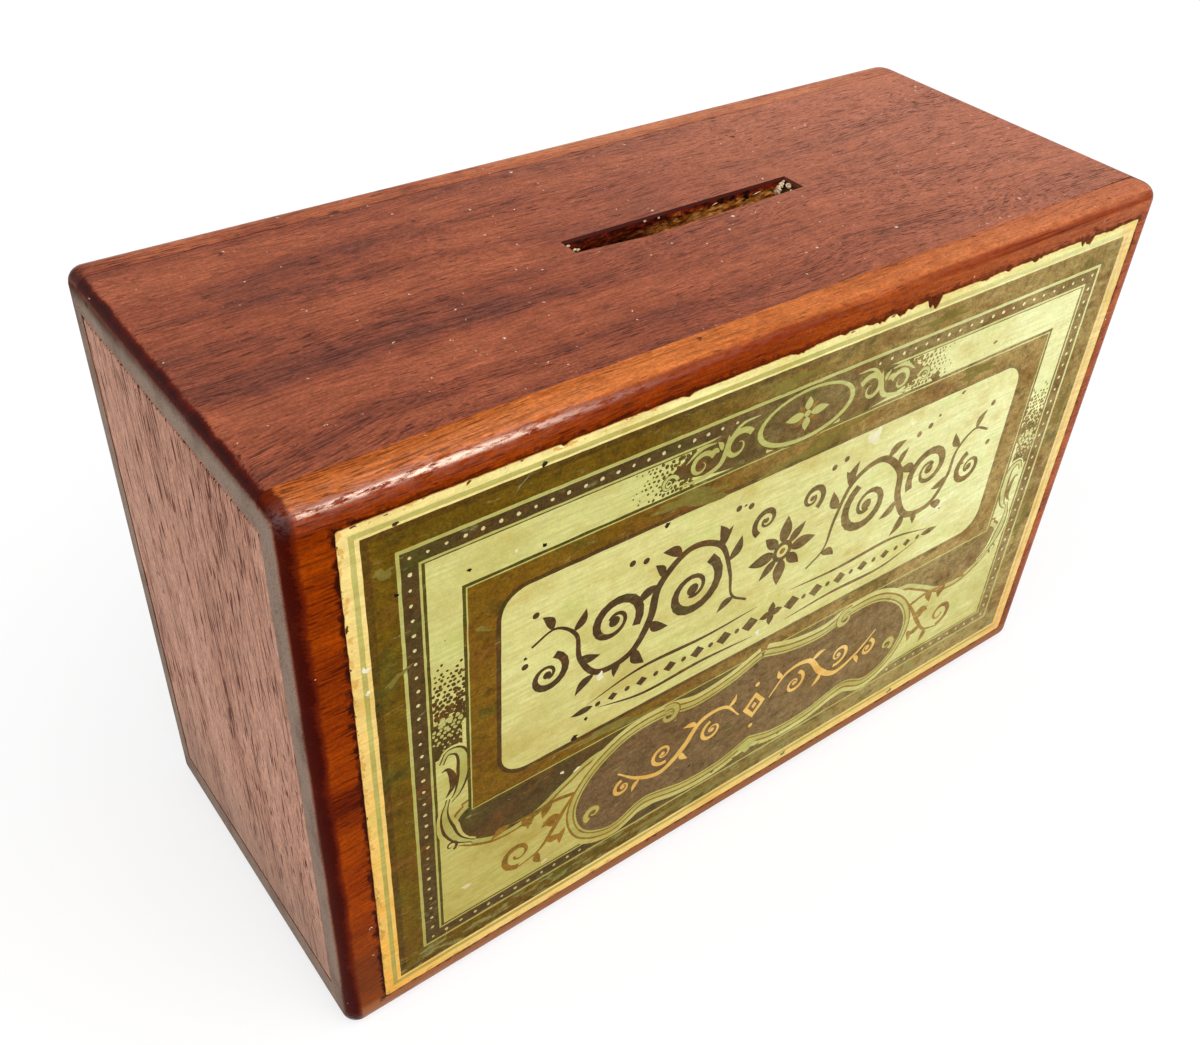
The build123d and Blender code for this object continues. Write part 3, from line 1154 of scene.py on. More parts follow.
@dataclass(frozen=True)
class AgedPrint:
    """Lithographed label under yellowed varnish, rubbed through its dark inks in places."""

    name: str = "aged_print"
    ground: Colour = srgb(150, 150, 88)
    amber: Colour = srgb(246, 196, 132)
    glare_tint: Colour = srgb(248, 251, 192)
    rust: Colour = srgb(254, 234, 218)
    stained_rule: Colour = srgb(240, 186, 134)
    glare_veil: Colour = srgb(208, 182, 118)
    tea: Colour = srgb(226, 214, 186)
    brushed: Colour = srgb(230, 214, 180)
    mottled: Colour = srgb(240, 232, 212)
    green_dark: Colour = srgb(76, 80, 26)
    red_dark: Colour = srgb(116, 70, 26)
    warm_pale: Colour = srgb(236, 216, 182)
    cool_pale: Colour = srgb(236, 250, 228)
    grime: Colour = srgb(62, 44, 12)
    soil: Colour = srgb(62, 46, 22)
    dust: Colour = srgb(244, 238, 220)
    scratch: Colour = srgb(204, 198, 150)
    roughness: float = 0.34
    ior: float = 1.08

    def material(self, effects: Effects, label: "PrintedLabel") -> bpy.types.Material:
        """Builds the finish over the ink colours of the mesh.

        Args:
            effects: the shared node groups.
            label: the label that it is for.

        Returns:
            The new material.
        """
        material, graph, place = new_material(self.name)
        ink = graph.give("ShaderNodeAttribute", output="Color", attribute_name=label.ink_layer)
        _, green, blue = graph.split(ink)
        brush = graph.cloud(place, (9, 1, 0.5), 4.0, 0.65)
        mottle = graph.cloud(place, (11, 1, 7), 4.0, 0.6)
        fine = graph.cloud(place, (0.42, 1, 0.34), 3.0, 0.6)
        grit = graph.cloud(place, (1.7, 1, 1.3), 4.0, 0.7)
        patches = graph.cloud(place, (12, 1, 7), 4.0, 0.65, (50, 0, 21))

        colour = self.aged(graph, ink, place, mottle)
        patchy = graph.step(brush, 0.56, 0.4) * graph.step(mottle, 0.4, 0.6)
        colour = graph.tint(patchy * 0.35, colour, self.brushed)
        colour = graph.tint(graph.step(mottle, 0.62, 0.3), colour, self.mottled)
        dark_ink = graph.step(green, 0.22, 0.12)
        pale_ink = 1.0 - dark_ink
        warm = graph.step(blue, 0.03, 0.012)
        for share, hue in ((graph.step(patches, 0.54, 0.66), self.green_dark),
                           (graph.step(patches, 0.46, 0.34), self.red_dark)):
            colour = graph.mix(share * warm * 0.5, colour, hue)
        for share, hue in ((graph.step(patches, 0.52, 0.68), self.warm_pale),
                           (graph.step(patches, 0.48, 0.32), self.cool_pale)):
            colour = graph.tint(share * pale_ink * 0.45, colour, hue)
        contrast = dark_ink * 1.1 + 0.38
        factor = graph.vary(fine, contrast) * graph.vary(grit, contrast) * graph.vary(brush, 0.22)
        colour = graph.scale(colour, factor)

        low = graph.step(graph.split(place)[2], 12.5, 10.0)
        reach = low * 0.12 + graph.cloud(place, (4, 1, 1.5), 5.0, 0.7, (4, 0, 9))
        rubbed = graph.step(reach, 0.6, 0.72) * dark_ink
        grime = graph.cloud(place, (3, 1, 2.4), 5.0, 0.75, (14, 0, 3))
        grimy = graph.step(grime, 0.5, 0.68) * dark_ink
        soiled = graph.use(effects.specks, Vector=place, Spacing=2.6, Size=0.2, Share=0.25)["Mask"]
        dust = graph.use(effects.specks, Vector=graph.place(place, shift=(9, 4, 3)), Spacing=3.0, Size=0.2,
                         Share=0.25)["Mask"]
        scratch = graph.use(effects.hairlines, Vector=place, Turn=0.9, Width=0.008, Share=0.45)["Mask"]
        for mask, share, hue in ((rubbed, 0.6, self.ground), (grimy, 0.5, self.grime),
                                 (soiled, 0.7, self.soil), (dust, 0.7, self.dust),
                                 (scratch, 0.4, self.scratch)):
            colour = graph.mix(mask * share, colour, hue)

        relief = brush * 0.35 + fine * 0.25 - rubbed * 0.3
        finish_surface(graph, {"Base Color": colour, "Roughness": graph.vary(mottle, 0.2, self.roughness),
                               "IOR": self.ior}, relief, 0.02)
        return material

    def aged(self, graph: Graph, ink: Signal, place: Signal, mottle: Signal) -> Signal:
        """Yellows the gold border to the left, and paints glare: the pale inks whiten towards the upper right
        and the dark ones are veiled towards the right.

        The inks are told apart by their red, green and blue.

        Args:
            graph: the material's graph.
            ink: the printed colour.
            place: the place on the label.
            mottle: slow noise.

        Returns:
            The aged colour.
        """
        red, green, blue = graph.split(ink)
        x, _, z = graph.split(place)
        golden = graph.step(red, 0.89, 0.94)
        leftward = graph.math("MULTIPLY", x, -1 / 70, clamp=True)
        yellowed = leftward ** 2.0 * (z * (-1 / 120) + 1.1)
        yellowed = graph.math("MAXIMUM", yellowed, graph.step(z, 34.0, 2.0) * 0.55)
        yellowed = graph.math("MULTIPLY", yellowed, graph.vary(mottle, 1.6), clamp=True)
        colour = graph.tint(golden * yellowed, ink, self.amber)
        rightmost = graph.step(graph.vary(mottle, 3.0, x), 66.0, 68.5)
        colour = graph.tint(golden * rightmost, colour, self.rust)

        height = graph.vary(mottle, 40.0, z)
        # Painted glare: the pale inks whiten towards the upper right.
        bright_end = graph.step(x, -15.0, 60.0) * graph.step(height, 5.0, 70.0)
        pale_ink = graph.step(green, 0.3, 0.6) * (1.0 - golden)
        colour = graph.mix(bright_end * pale_ink * 0.92, colour, self.glare_tint)
        colour = graph.mix(pale_ink * rightmost * 0.85, colour, self.stained_rule)
        low_left = graph.step(height, 74.0, 14.0) * graph.step(x, 20.0, -50.0)
        colour = graph.tint(low_left * pale_ink, colour, self.tea)

        warm = graph.step(blue, 0.03, 0.012)
        # Painted glare: a pale veil over the dark inks, growing towards the right.
        veiled = graph.step(x, -35.0, 40.0) * (warm * 0.3 + 0.18) * graph.vary(mottle, 1.2)
        dark_ink = graph.step(green, 0.22, 0.12)
        return graph.mix(graph.math("MULTIPLY", veiled, dark_ink, clamp=True), colour, self.glare_veil)


@dataclass
class PrintedLabel(Artwork):
    """The front label: borders, a framed panel and scrollwork, printed on one thin sheet.

    A border is a half width from the artwork's middle and two heights above the box's underside.
    """

    left: float
    bottom: float
    right: float
    top: float
    front: float
    back: float
    node: str = "front_label"
    ink_layer: str = "ink"
    seed: int = 11
    stripe: float = 0.7
    gold: Border = (67.7, 6.95, 91.9)
    line_border: Border = (63.65, 10.9, 88.2)
    dotted: Border = (63.15, 11.3, 87.65)
    rule: Border = (60.85, 13.4, 85.45)
    side_field: Border = (60.05, 14.05, 84.9)
    frame: Border = (55.3, 36.4, 79.1)
    panel: Border = (49.85, 40.3, 74.55)
    panel_radius: float = 4.1
    dot_radius: float = 0.29
    dot_pitch: float = 2.42

    @classmethod
    def from_frame(cls) -> "PrintedLabel":
        """Takes the sheet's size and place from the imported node."""
        low, high = (np.array(corner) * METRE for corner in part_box(cls.node))
        return cls(low[0], low[2], high[0], high[2], low[1], high[1])

    def __post_init__(self) -> None:
        """Finds the artwork's middle along X."""
        self.middle = (self.left + self.right) / 2

    def dirt_line(self) -> DirtLine:
        """Gives the dirt that lies round the sheet's edge on the board behind it."""
        return DirtLine(self.middle, (self.bottom + self.top) / 2, (self.right - self.left) / 2,
                        (self.top - self.bottom) / 2)

    def between(self, border: Border, grow: float = 0.0, radius: float = 0.0) -> Outline:
        """Draws a border's rectangle, grown on all sides."""
        half, low, high = border
        return box_outline(-half - grow, low - grow, half + grow, high + grow, radius)

    def sheet_outline(self) -> Outline:
        """Draws the sheet's edge, a little unsteady, with the chips that its top edge has lost.

        A chip's depth is its full depth times 1 less the square of the distance from its middle.

        Returns:
            The closed outline.
        """
        plain = box_outline(self.left, self.bottom, self.right, self.top, 0.4)
        outline = soften(plain, self.seed, 0.06, 0.45)
        outline[:, 0] = outline[:, 0].clip(self.left, self.right)
        x = outline[:, 0]
        chips = [(-3.0, 1.6, 0.45), (-1.2, 0.9, 0.3), (10.2, 1.0, 0.4), (12.2, 1.5, 0.65), (16.2, 1.2, 0.8),
                 (18.2, 0.6, 0.4), (22.3, 0.9, 1.3), (23.5, 0.8, 2.1), (34.0, 1.6, 0.35), (45.2, 0.9, 0.5),
                 (46.4, 0.4, 0.3), (56.8, 0.8, 0.9), (58.4, 1.1, 1.2), (-40.5, 0.7, 0.4), (64.0, 2.0, 0.3),
                 (-22.0, 0.8, 0.25), (5.2, 0.7, 0.3), (39.0, 0.6, 0.35)]
        depth = sum(size * np.maximum(0, 1 - ((x - at) / half) ** 2) for at, half, size in chips)
        depth *= 1 + 0.35 * wander(x, self.seed + 1, 0.8)
        depth += 0.07 * np.abs(wander(x, self.seed + 2, 1.2)) + 0.05 * np.abs(wander(x, self.seed + 3, 6.0))
        upper = outline[:, 1] > self.top - 0.6
        outline[upper, 1] = np.minimum(outline[upper, 1], self.top) - depth[upper]
        outline[:, 1] = outline[:, 1].clip(self.bottom, self.top)
        return outline

    def draw_borders(self) -> None:
        """Lays the borders from the outside in, each a smaller rectangle over the last."""
        half, low, high = self.gold
        stripe = (half + 1.3, low - 1.2, high + 1.05)
        sheet = ((self.right - self.left) / 2, self.bottom, self.top)
        self.draw_rectangles((
            (Ink.GOLD, sheet, 2.0), (Ink.SAGE, stripe, 0.0), (Ink.GOLD, stripe, -self.stripe),
            (Ink.UMBER, self.gold, 0.0), (Ink.OLIVE, self.gold, -1.0), (Ink.LIME, self.line_border, 0.0),
            (Ink.SEPIA, self.dotted, 0.0), (Ink.LIME, self.rule, 0.0), (Ink.MOSS, self.rule, -0.35),
            (Ink.FIELD, self.side_field, 0.0)))
        self.draw_dots()

    def draw_rectangles(self, rows: tuple[tuple[Ink, Border, float], ...]) -> None:
        """Lays rectangles of (ink, border, growth) with unsteady edges."""
        for number, (ink, border, grow) in enumerate(rows):
            self.fill(ink, soften(self.between(border, grow), self.seed + 3 + number))

    def draw_dots(self) -> None:
        """Lays the row of light dots round the dark border, with gaps for the ornaments."""
        half, low, high = ((outer + inner) / 2 for outer, inner in zip(self.dotted, self.rule))
        across = np.arange(-half, half + 0.1, 2 * half / round(2 * half / self.dot_pitch))
        up = np.arange(low, high + 0.1, (high - low) / round((high - low) / self.dot_pitch))
        places = [(x, high) for x in across if abs(x) > 12.8] + [(x, low) for x in across if abs(x) > 35.0]
        places += [(side * half, z) for z in up[1:-1] for side in (-1, 1)]
        rng = np.random.default_rng(self.seed)
        for number, (x, z) in enumerate(places):
            radius = self.dot_radius * rng.uniform(0.8, 1.15)
            self.fill(Ink.IVORY, blot(x + rng.normal(0, 0.05), z + rng.normal(0, 0.05), radius, radius * 0.95,
                                      number, 0.2))

    def draw_frame(self) -> None:
        """Lays the brown frame with its rules, and the pale panel with its shaded inner edge."""
        self.draw_rectangles((
            (Ink.MOSS, self.frame, 0.0), (Ink.LIME, self.frame, -0.5), (Ink.BRONZE, self.frame, -0.72)))
        for ink, grow, seed in ((Ink.SHADE, 0.75, 20), (Ink.PANEL, 0.0, 21)):
            self.fill(ink, soften(self.between(self.panel, grow, self.panel_radius + grow), self.seed + seed))

    def draw_stipple(self, corner: tuple[float, float], size: tuple[float, float],
                     thicken: tuple[float, float], ink: Ink, radii: tuple[float, float], seed: int) -> None:
        """Lays a pair of patches of dots that grow in one direction.

        The dots stand on a shaken net of staggered rows, and a dot's radius runs from the first
        value to the second as the share of the way along the direction, to the power 1.3.

        Args:
            corner: the patch's lower left corner.
            size: its width and height.
            thicken: the direction, in shares of the size, in which the dots grow.
            ink: the dots' ink.
            radii: the least and the greatest radius.
            seed: the start of the random numbers.
        """
        pitch = 0.82
        rng = np.random.default_rng(seed)
        u, v = np.meshgrid(np.arange(0, size[0], pitch), np.arange(0, size[1], pitch * 0.86))
        u = u + (np.arange(u.shape[0])[:, None] % 2) * pitch / 2
        u, v = u.ravel() + rng.normal(0, 0.13, u.size), v.ravel() + rng.normal(0, 0.13, v.size)
        share = (u / size[0] * thicken[0] + v / size[1] * thicken[1]) + (min(thicken) < 0) * 1.0
        share = share.clip(0, 1)
        radius = (radii[0] + (radii[1] - radii[0]) * share ** 1.3) * rng.uniform(0.75, 1.2, u.size)
        shown = (rng.uniform(0, 1, u.size) < 0.35 + share * 1.6) & (u < size[0])
        for number in np.flatnonzero(shown):
            spot = blot(corner[0] + u[number], corner[1] + v[number], radius[number] * 1.1, radius[number],
                        seed + int(number), 0.25, float(rng.uniform(0, 180)))
            self.pair(ink, spot)

    def draw_side_ornaments(self) -> None:
        """Lays the shaded dots and the long scrolls in the side fields, and the dark bar behind."""
        bar = curve([(0, 38), (50, 38.4), (55.3, 37.8), (57.3, 35.4), (56.4, 31.8), (52.6, 29.0),
                     (48.8, 28.0), (43.9, 28.9), (38.9, 31.8), (33.0, 34.4), (20, 34.4), (0, 34.4)], 6)
        both = np.vstack([bar, (bar * MIRRORED)[::-1]])
        for ink, width in ((Ink.LEAF, 2.7), (Ink.LIME, 1.7)):
            self.fill(ink, stroke(np.vstack([both, both[:1]]), width, Taper.EVEN))
        self.fill(Ink.SEPIA, both)
        self.pair(Ink.SHADE, box_outline(55.9, 50.6, 60.3, 57.0))
        self.draw_stipple((55.3, 56.4), (4.9, 12.0), (0.0, -1.0), Ink.SHADE, (0.2, 0.5), 300)
        self.draw_stipple((56.0, 51.3), (4.2, 6.6), (0.0, 1.0), Ink.LIME, (0.13, 0.38), 700)
        crook = [(59.2, 49.4), (58.2, 51.1), (56.5, 50.6), (55.8, 48.4), (56.0, 45.2), (57.0, 42.2),
                 (58.8, 40.6)]
        tail = [(58.4, 41.8), (59.1, 38.8), (58.6, 35.4), (57.2, 32.2), (54.6, 29.8)]
        for points, width in ((crook, 2.5), (tail, 2.2)):
            self.line(Ink.FIELD, points, width + 1.4, Taper.BOTH, 0.4)
            self.line(Ink.SHADE, points, width, Taper.BOTH, 0.35)
            self.line(Ink.LIME, points, width * 0.55, Taper.BOTH, 0.3)
        self.line(Ink.SHADE, [(59.2, 47.9), (58.3, 47.9), (57.6, 46.0), (57.7, 43.9), (58.7, 42.4)], 1.3,
                  Taper.BOTH, 0.2)
        self.curl(Ink.SHADE, (58.3, 31.4, 1.1, 250, -1.1), 0.5)

    def draw_top_ornament(self) -> None:
        """Lays the oval with its four leaves, and the paired scrolls on dark ground beside it."""
        self.draw_stipple((20.2, 79.6), (10.2, 5.2), (-1.0, 0.0), Ink.MOSS, (0.14, 0.42), 1500)
        ground = curve([(7, 78.9), (14, 79.2), (20, 80.4), (24.2, 81.6), (21.5, 83.9), (15, 85.6), (7, 86.4)],
                       6)
        self.pair(Ink.SEPIA, ground)
        for spot in ((12.6, 82.6, 2.7, 150, -1.15), (18.9, 81.8, 2.2, 160, -1.1),
                     (24.2, 80.9, 1.5, 170, -1.1)):
            self.curl(Ink.MOSS, spot, spot[2] * 0.6)
            self.curl(Ink.LIME, spot, spot[2] * 0.36)
        self.line(Ink.LIME,
                  [(9.2, 86.2), (12.4, 85.9), (14.4, 83.6), (15.6, 80.6), (19.4, 79.6), (23.0, 79.9)], 0.9)
        self.line(Ink.LIME, [(16.6, 84.6), (19.2, 84.6), (21.6, 83.0)], 0.7)
        self.leaves(Ink.LIME, (14.9, 82.9, 2.2, 0.8, 100), (15.4, 82.9, 2.0, 0.8, 60),
                    (15.9, 82.9, 1.8, 0.8, 20))
        rings = ((Ink.MOSS, 82.95, 9.7, 4.75, 40), (Ink.LIME, 82.95, 9.2, 4.4, 40),
                 (Ink.MOSS, 83.05, 8.3, 3.85, 36), (Ink.SEPIA, 83.05, 7.9, 3.55, 36))
        for ink, z, across, up, sides in rings:
            self.fill(ink, oval(0, z, across, up, sides))
        for turn, reach in zip(QUARTERS, (3.6, 2.3, 3.6, 2.3)):
            self.star(Ink.LIME, 83.05, (0.55, 0.55), (turn,), reach, 1.5)
        self.star(Ink.LEAF, 83.05, (0.9, 0.7), (45, 135, 225, 315), 1.7, 0.7)
        self.fill(Ink.LIME, oval(0, 83.05, 0.6, 0.55))

    def draw_panel_ornament(self) -> None:
        """Lays the large scrolling vine of the panel: a rosette and two stems with curls and leaves."""
        centre, row = 58.2, 45.4
        for turn in range(0, 360, 45):
            reach, width = (5.4, 2.5) if turn % 90 == 0 else (4.3, 1.9)
            self.star(Ink.SCROLL, centre, (1.5, 1.5), (turn,), reach, width)
        for ink, radius, sides in ((Ink.SCROLL, 2.0, 20), (Ink.PANEL, 1.15, 16), (Ink.LEAF, 0.6, 12)):
            self.fill(ink, oval(0, centre, radius, radius, sides))

        stem = curve([(6.2, 51.6), (9.5, 54.2), (10.6, 59.4), (13.2, 65.6), (19.0, 67.6), (24.0, 63.4),
                      (25.2, 57.6), (28.4, 52.6), (34.0, 52.2), (37.2, 56.6), (38.0, 61.6), (41.4, 64.6),
                      (45.2, 63.2)], 10)
        self.pair(Ink.SCROLL, stroke(stem, 1.5, Taper.BOTH, 0.3))
        for spot in ((17.6, 59.4, 5.4, 120, 1.5), (31.6, 60.6, 4.8, 215, -1.5), (42.6, 56.6, 3.5, 110, 1.4),
                     (4.6, 66.2, 2.6, 300, 1.3)):
            x, z, size = spot[:3]
            self.curl(Ink.SCROLL, spot, 0.55 + size * 0.2, 0.45, 0.2)
            self.pair(Ink.SCROLL, oval(x, z, size * 0.2, size * 0.2))
        self.leaves(Ink.SCROLL, (11.0, 61.6, 4.4, 1.9, 115), (12.6, 65.0, 4.6, 1.9, 75),
                    (20.4, 67.2, 4.2, 1.8, 30), (24.2, 63.6, 4.4, 1.9, 330), (25.2, 57.0, 4.4, 1.8, 215),
                    (27.8, 53.2, 4.6, 1.9, 240), (34.6, 52.2, 4.2, 1.7, 320), (37.2, 56.8, 3.8, 1.6, 200),
                    (38.4, 62.4, 3.8, 1.6, 120), (41.8, 64.6, 3.6, 1.5, 60), (9.0, 53.6, 3.6, 1.6, 330),
                    (13.8, 66.2, 3.4, 1.3, 140), (30.0, 52.2, 3.0, 1.3, 290), (23.4, 64.6, 3.4, 1.4, 60))
        for x, z in ((8.2, 70.4), (10.6, 71.0), (26.8, 69.2), (29.2, 69.9), (44.6, 68.6), (46.2, 60.2)):
            self.pair(Ink.SCROLL, oval(x, z, 0.55, 0.55))

        for number in range(6):
            x = 4.4 + number * 5.3
            size = 1.5 - number * 0.14
            self.pair(Ink.SCROLL, oval(x, row, size * 1.15, size, 4))
            self.pair(Ink.SCROLL, oval(x + 2.65, row, 0.5, 0.5))
        self.star(Ink.SCROLL, row, (0.0, 0.0), QUARTERS, 2.5, 1.5)
        self.line(Ink.SCROLL, [(3.4, 48.6), (14, 48.0), (26, 48.4), (35.5, 46.4)], 0.75)
        self.line(Ink.SCROLL, [(3.4, 42.3), (14, 42.9), (25, 42.6), (33.5, 44.6)], 0.75)
        self.leaves(Ink.SCROLL, (34.4, row + 0.1, 4.0, 1.3, 0, 0.0))

    def draw_cartouche(self) -> None:
        """Lays the lower cartouche with its raised rim, side curls, leaves and gilt flourish."""
        half = [(0, 35.6), (6.5, 33.4), (14, 32.6), (20.5, 34.2), (27.5, 33.6), (33.6, 29.4), (36.4, 23.4),
                (34.6, 17.2), (29.0, 14.2), (22.6, 16.6), (14.0, 14.6), (6.4, 14.6), (0, 16.6)]
        right = curve(half, 7)
        rim = np.vstack([right, (right * MIRRORED)[::-1][1:]])
        for ink, width in ((Ink.FIELD, 5.6), (Ink.LEAF, 3.7), (Ink.LIME, 2.9), (Ink.LEAF, 1.3),
                           (Ink.LIME, 0.7)):
            self.fill(ink, stroke(rim, width, Taper.EVEN))
        self.fill(Ink.CARTOUCHE, rim)
        for spot in ((19.2, 34.0, 2.1, 60, 1.2), (33.0, 20.2, 1.7, 300, 1.1)):
            self.curl(Ink.LEAF, spot, 1.5, 0.3)
            self.curl(Ink.LIME, spot, 0.95, 0.3)
        self.leaves(Ink.LIME, (2.0, 14.0, 5.2, 1.5, 170, 0.0))
        self.fill(Ink.LIME, leaf(0, 12.4, 3.4, 2.0, 90, 0.0))
        self.pair(Ink.MOSS, oval(7.6, 12.6, 0.42, 0.36))
        self.leaves(Ink.MOSS, (1.0, 12.2, 2.6, 0.7, 20, 0.0))
        self.draw_sprigs()
        self.draw_flourish()

    def draw_sprigs(self) -> None:
        """Lays the curling stems and leaves that fill the lower corners."""
        self.line(Ink.LEAF, [(35.4, 29.8), (38.0, 26.2), (40.6, 22.0), (43.2, 18.6), (46.8, 17.4)], 1.0,
                  Taper.BOTH, 0.4)
        self.curl(Ink.LEAF, (47.0, 20.6, 3.0, 268, 1.25), 1.1, 0.4)
        self.line(Ink.LEAF, [(37.0, 27.8), (40.6, 28.6), (44.4, 28.4), (48.6, 28.8)], 0.75, Taper.TAIL)
        self.leaves(
            Ink.LEAF, (41.0, 28.6, 3.3, 1.6, 300), (44.2, 28.4, 3.2, 1.5, 290), (46.2, 28.5, 3.0, 1.4, 235),
            (48.4, 28.8, 3.6, 1.5, 340), (39.2, 24.4, 3.8, 1.9, 350), (40.4, 22.6, 3.2, 1.5, 45),
            (42.0, 20.2, 3.4, 1.6, 190), (43.6, 18.4, 3.2, 1.4, 255), (38.4, 20.6, 3.4, 1.3, 285))

    def draw_flourish(self) -> None:
        """Lays the gilt flourish: a lozenge and two long double curls that thin outwards."""
        centre = 24.4
        for ink, across, up in ((Ink.GILT, 2.5, 3.1), (Ink.CARTOUCHE, 1.4, 1.8), (Ink.GILT, 0.6, 0.8)):
            self.fill(ink, oval(0, centre, across, up, 4))
        sweep = curve([(3.4, 24.2), (7.0, 28.2), (12.0, 28.0), (15.4, 23.6), (19.6, 20.8), (24.4, 22.6),
                       (28.6, 26.4)], 9)
        self.pair(Ink.GILT, stroke(sweep, 1.3, Taper.BOTH, 0.25))
        for spot in ((9.2, 24.2, 2.5, 75, -1.3), (19.6, 25.2, 2.5, 250, 1.3), (27.4, 22.4, 1.9, 80, -1.2)):
            self.curl(Ink.GILT, spot, 0.75, 0.4, 0.2)
            self.pair(Ink.GILT, oval(*spot[:2], 0.45, 0.45))
        self.leaves(Ink.GILT, (12.8, 27.6, 3.2, 1.1, 20), (15.8, 23.0, 3.2, 1.1, 235),
                    (24.0, 22.2, 2.8, 1.0, 300), (6.0, 27.4, 2.8, 1.0, 120))
        for z in (29.4, 19.4):
            self.fill(Ink.GILT, oval(0, z, 0.5, 0.5))

    def draw_foxing(self) -> None:
        """Lays the brown crust and the foxed spots of the gold border, thickest on the left.

        A spot's place along the edge and its size are random, and most of them are small.
        """
        rng = np.random.default_rng(self.seed + 50)
        rows = ((0, 18, Ink.CRUST, 0.25, 0.3), (0, 70, Ink.FOXED, 0.5, 0.6), (1, 24, Ink.CRUST, 0.3, 0.3),
                (1, 30, Ink.FOXED, 0.6, 0.4), (2, 34, Ink.FOXED, 0.8, 0.5), (3, 44, Ink.FOXED, 0.7, 0.45))
        for side, count, ink, depth, size in rows:
            for number in range(count):
                inwards = depth * rng.uniform(0, 1) ** 1.5
                share = rng.uniform(0, 1)
                x = self.left + (self.right - self.left) * share
                z = self.bottom + (self.top - self.bottom) * share
                x, z = ((self.left + inwards, z), (x, self.top - inwards), (self.right - inwards, z),
                        (x, self.bottom + inwards))[side]
                length = size * (0.3 + 1.2 * rng.uniform(0, 1) ** 3)
                across, up = (length * 0.6, length * 1.3) if side % 2 == 0 else (length * 1.3, length * 0.55)
                self.fill(ink, blot(x - self.middle, z, across, up, 4000 + 100 * side + number, 0.7,
                                    float(rng.uniform(-25, 25))))

    def draw_wear(self) -> None:
        """Lays the rubbed patches, bare spots and dark stains that age has left on the print."""
        self.draw_foxing()
        rubbed = ((-19.5, 76.6, 7.0, 1.1, -8), (4.0, 76.3, 8.4, 1.0, 6), (38.0, 77.0, 4.6, 0.9, 0),
                  (-65.2, 85.9, 1.4, 0.7, 4), (-64.6, 69.0, 1.7, 0.5, 28), (-52.6, 70.6, 1.3, 0.4, -20),
                  (-4.0, 89.6, 5.0, 0.8, 0), (26.0, 90.0, 6.0, 0.5, 0), (-12.0, 8.8, 9.0, 0.9, 0),
                  (10.0, 9.4, 6.5, 0.6, 3), (65.8, 60.0, 1.0, 3.4, 0), (65.4, 36.0, 0.9, 5.0, 0),
                  (-31.0, 38.4, 8.0, 0.7, -4))
        self.blots(Ink.RUBBED, rubbed, 40, 0.75)
        bare = ((16.4, 73.0, 1.7, 1.2, 20), (-68.0, 72.6, 0.5, 0.5, 0), (-68.0, 68.7, 0.3, 0.4, 0),
                (46.8, 83.0, 0.8, 0.6, 0), (-47.2, 80.9, 0.25, 0.25, 0), (38.0, 50.6, 1.6, 0.5, 25),
                (34.6, 49.2, 1.2, 0.35, 15), (40.8, 52.0, 1.0, 0.4, 40), (-33.0, 51.0, 0.5, 1.0, 10),
                (-38.9, 34.2, 0.4, 0.3, 0), (-36.2, 33.2, 0.6, 0.3, 30), (-1.9, 42.4, 0.3, 0.8, 20),
                (-55.6, 20.0, 0.9, 0.4, 0), (-41.6, 15.0, 0.6, 0.3, 10), (25.2, 72.2, 0.5, 0.5, 0))
        self.blots(Ink.BARE, bare, 80, 0.6, -self.middle)
        dark = ((-23.3, 74.0, 0.45), (-43.1, 79.9, 0.34), (-66.9, 66.0, 0.3), (-35.1, 43.5, 0.35),
                (-37.0, 40.6, 0.6), (-12.8, 17.9, 0.4), (36.0, 73.8, 0.35), (40.7, 81.3, 0.35),
                (31.4, 71.2, 0.3), (41.0, 58.0, 0.35), (-53.8, 81.1, 0.3), (-45.7, 61.7, 0.28),
                (10.6, 5.4, 0.5), (38.4, 5.0, 0.6), (-8.9, 71.0, 0.25), (-63.4, 82.0, 0.3),
                (-62.9, 92.2, 0.35), (-43.4, 92.3, 0.4), (27.6, 79.6, 1.0), (66.0, 79.0, 0.4))
        spots = tuple((x, z, radius * 1.15, radius * 0.9, 0.0) for x, z, radius in dark)
        self.blots(Ink.SOOT, spots, 120, 0.5, -self.middle)

    def build(self, effects: Effects) -> bpy.types.Object:
        """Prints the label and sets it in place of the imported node.

        The cut sheet is laid at the label's front, its copy turned round at the back, and the open
        edge between them is closed with quads.

        Args:
            effects: the shared node groups.

        Returns:
            The label's object.
        """
        for draw in (self.draw_borders, self.draw_side_ornaments, self.draw_frame, self.draw_panel_ornament,
                     self.draw_top_ornament, self.draw_cartouche, self.draw_wear):
            draw()
        points, triangles, inks = self.cut(self.sheet_outline())
        forwards = points[triangles]
        first, second = forwards[:, 1] - forwards[:, 0], forwards[:, 2] - forwards[:, 0]
        turned = first[:, 0] * second[:, 1] - first[:, 1] * second[:, 0] < 0
        triangles[turned] = triangles[turned][:, ::-1]
        count = len(points)
        front = np.insert(points, 1, self.front, axis=1)
        back = np.insert(points, 1, self.back, axis=1)
        sides = np.vstack([triangles[:, [0, 1]], triangles[:, [1, 2]], triangles[:, [2, 0]]])
        keys = np.sort(sides, axis=1)
        _, first_use, uses = np.unique(keys, axis=0, return_index=True, return_counts=True)
        rim = sides[first_use[uses == 1]]
        walls = np.stack([rim[:, 1], rim[:, 0], rim[:, 0] + count, rim[:, 1] + count], 1)
        faces = triangles.tolist() + (triangles[:, ::-1] + count).tolist() + walls.tolist()
        sheet = add_piece("front_label_print", np.vstack([front, back]), faces,
                          AgedPrint().material(effects, self))
        edge = np.array(Ink.PAPER.value)
        corners = np.vstack([
            np.repeat(inks, 3, axis=0), np.tile(edge, (len(triangles) * 3 + len(walls) * 4, 1))])
        layer = sheet.data.attributes.new(self.ink_layer, "FLOAT_COLOR", "CORNER")
        layer.data.foreach_set("color", corners.astype(np.float32).ravel())
        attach(sheet, "box")
        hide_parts(self.node)
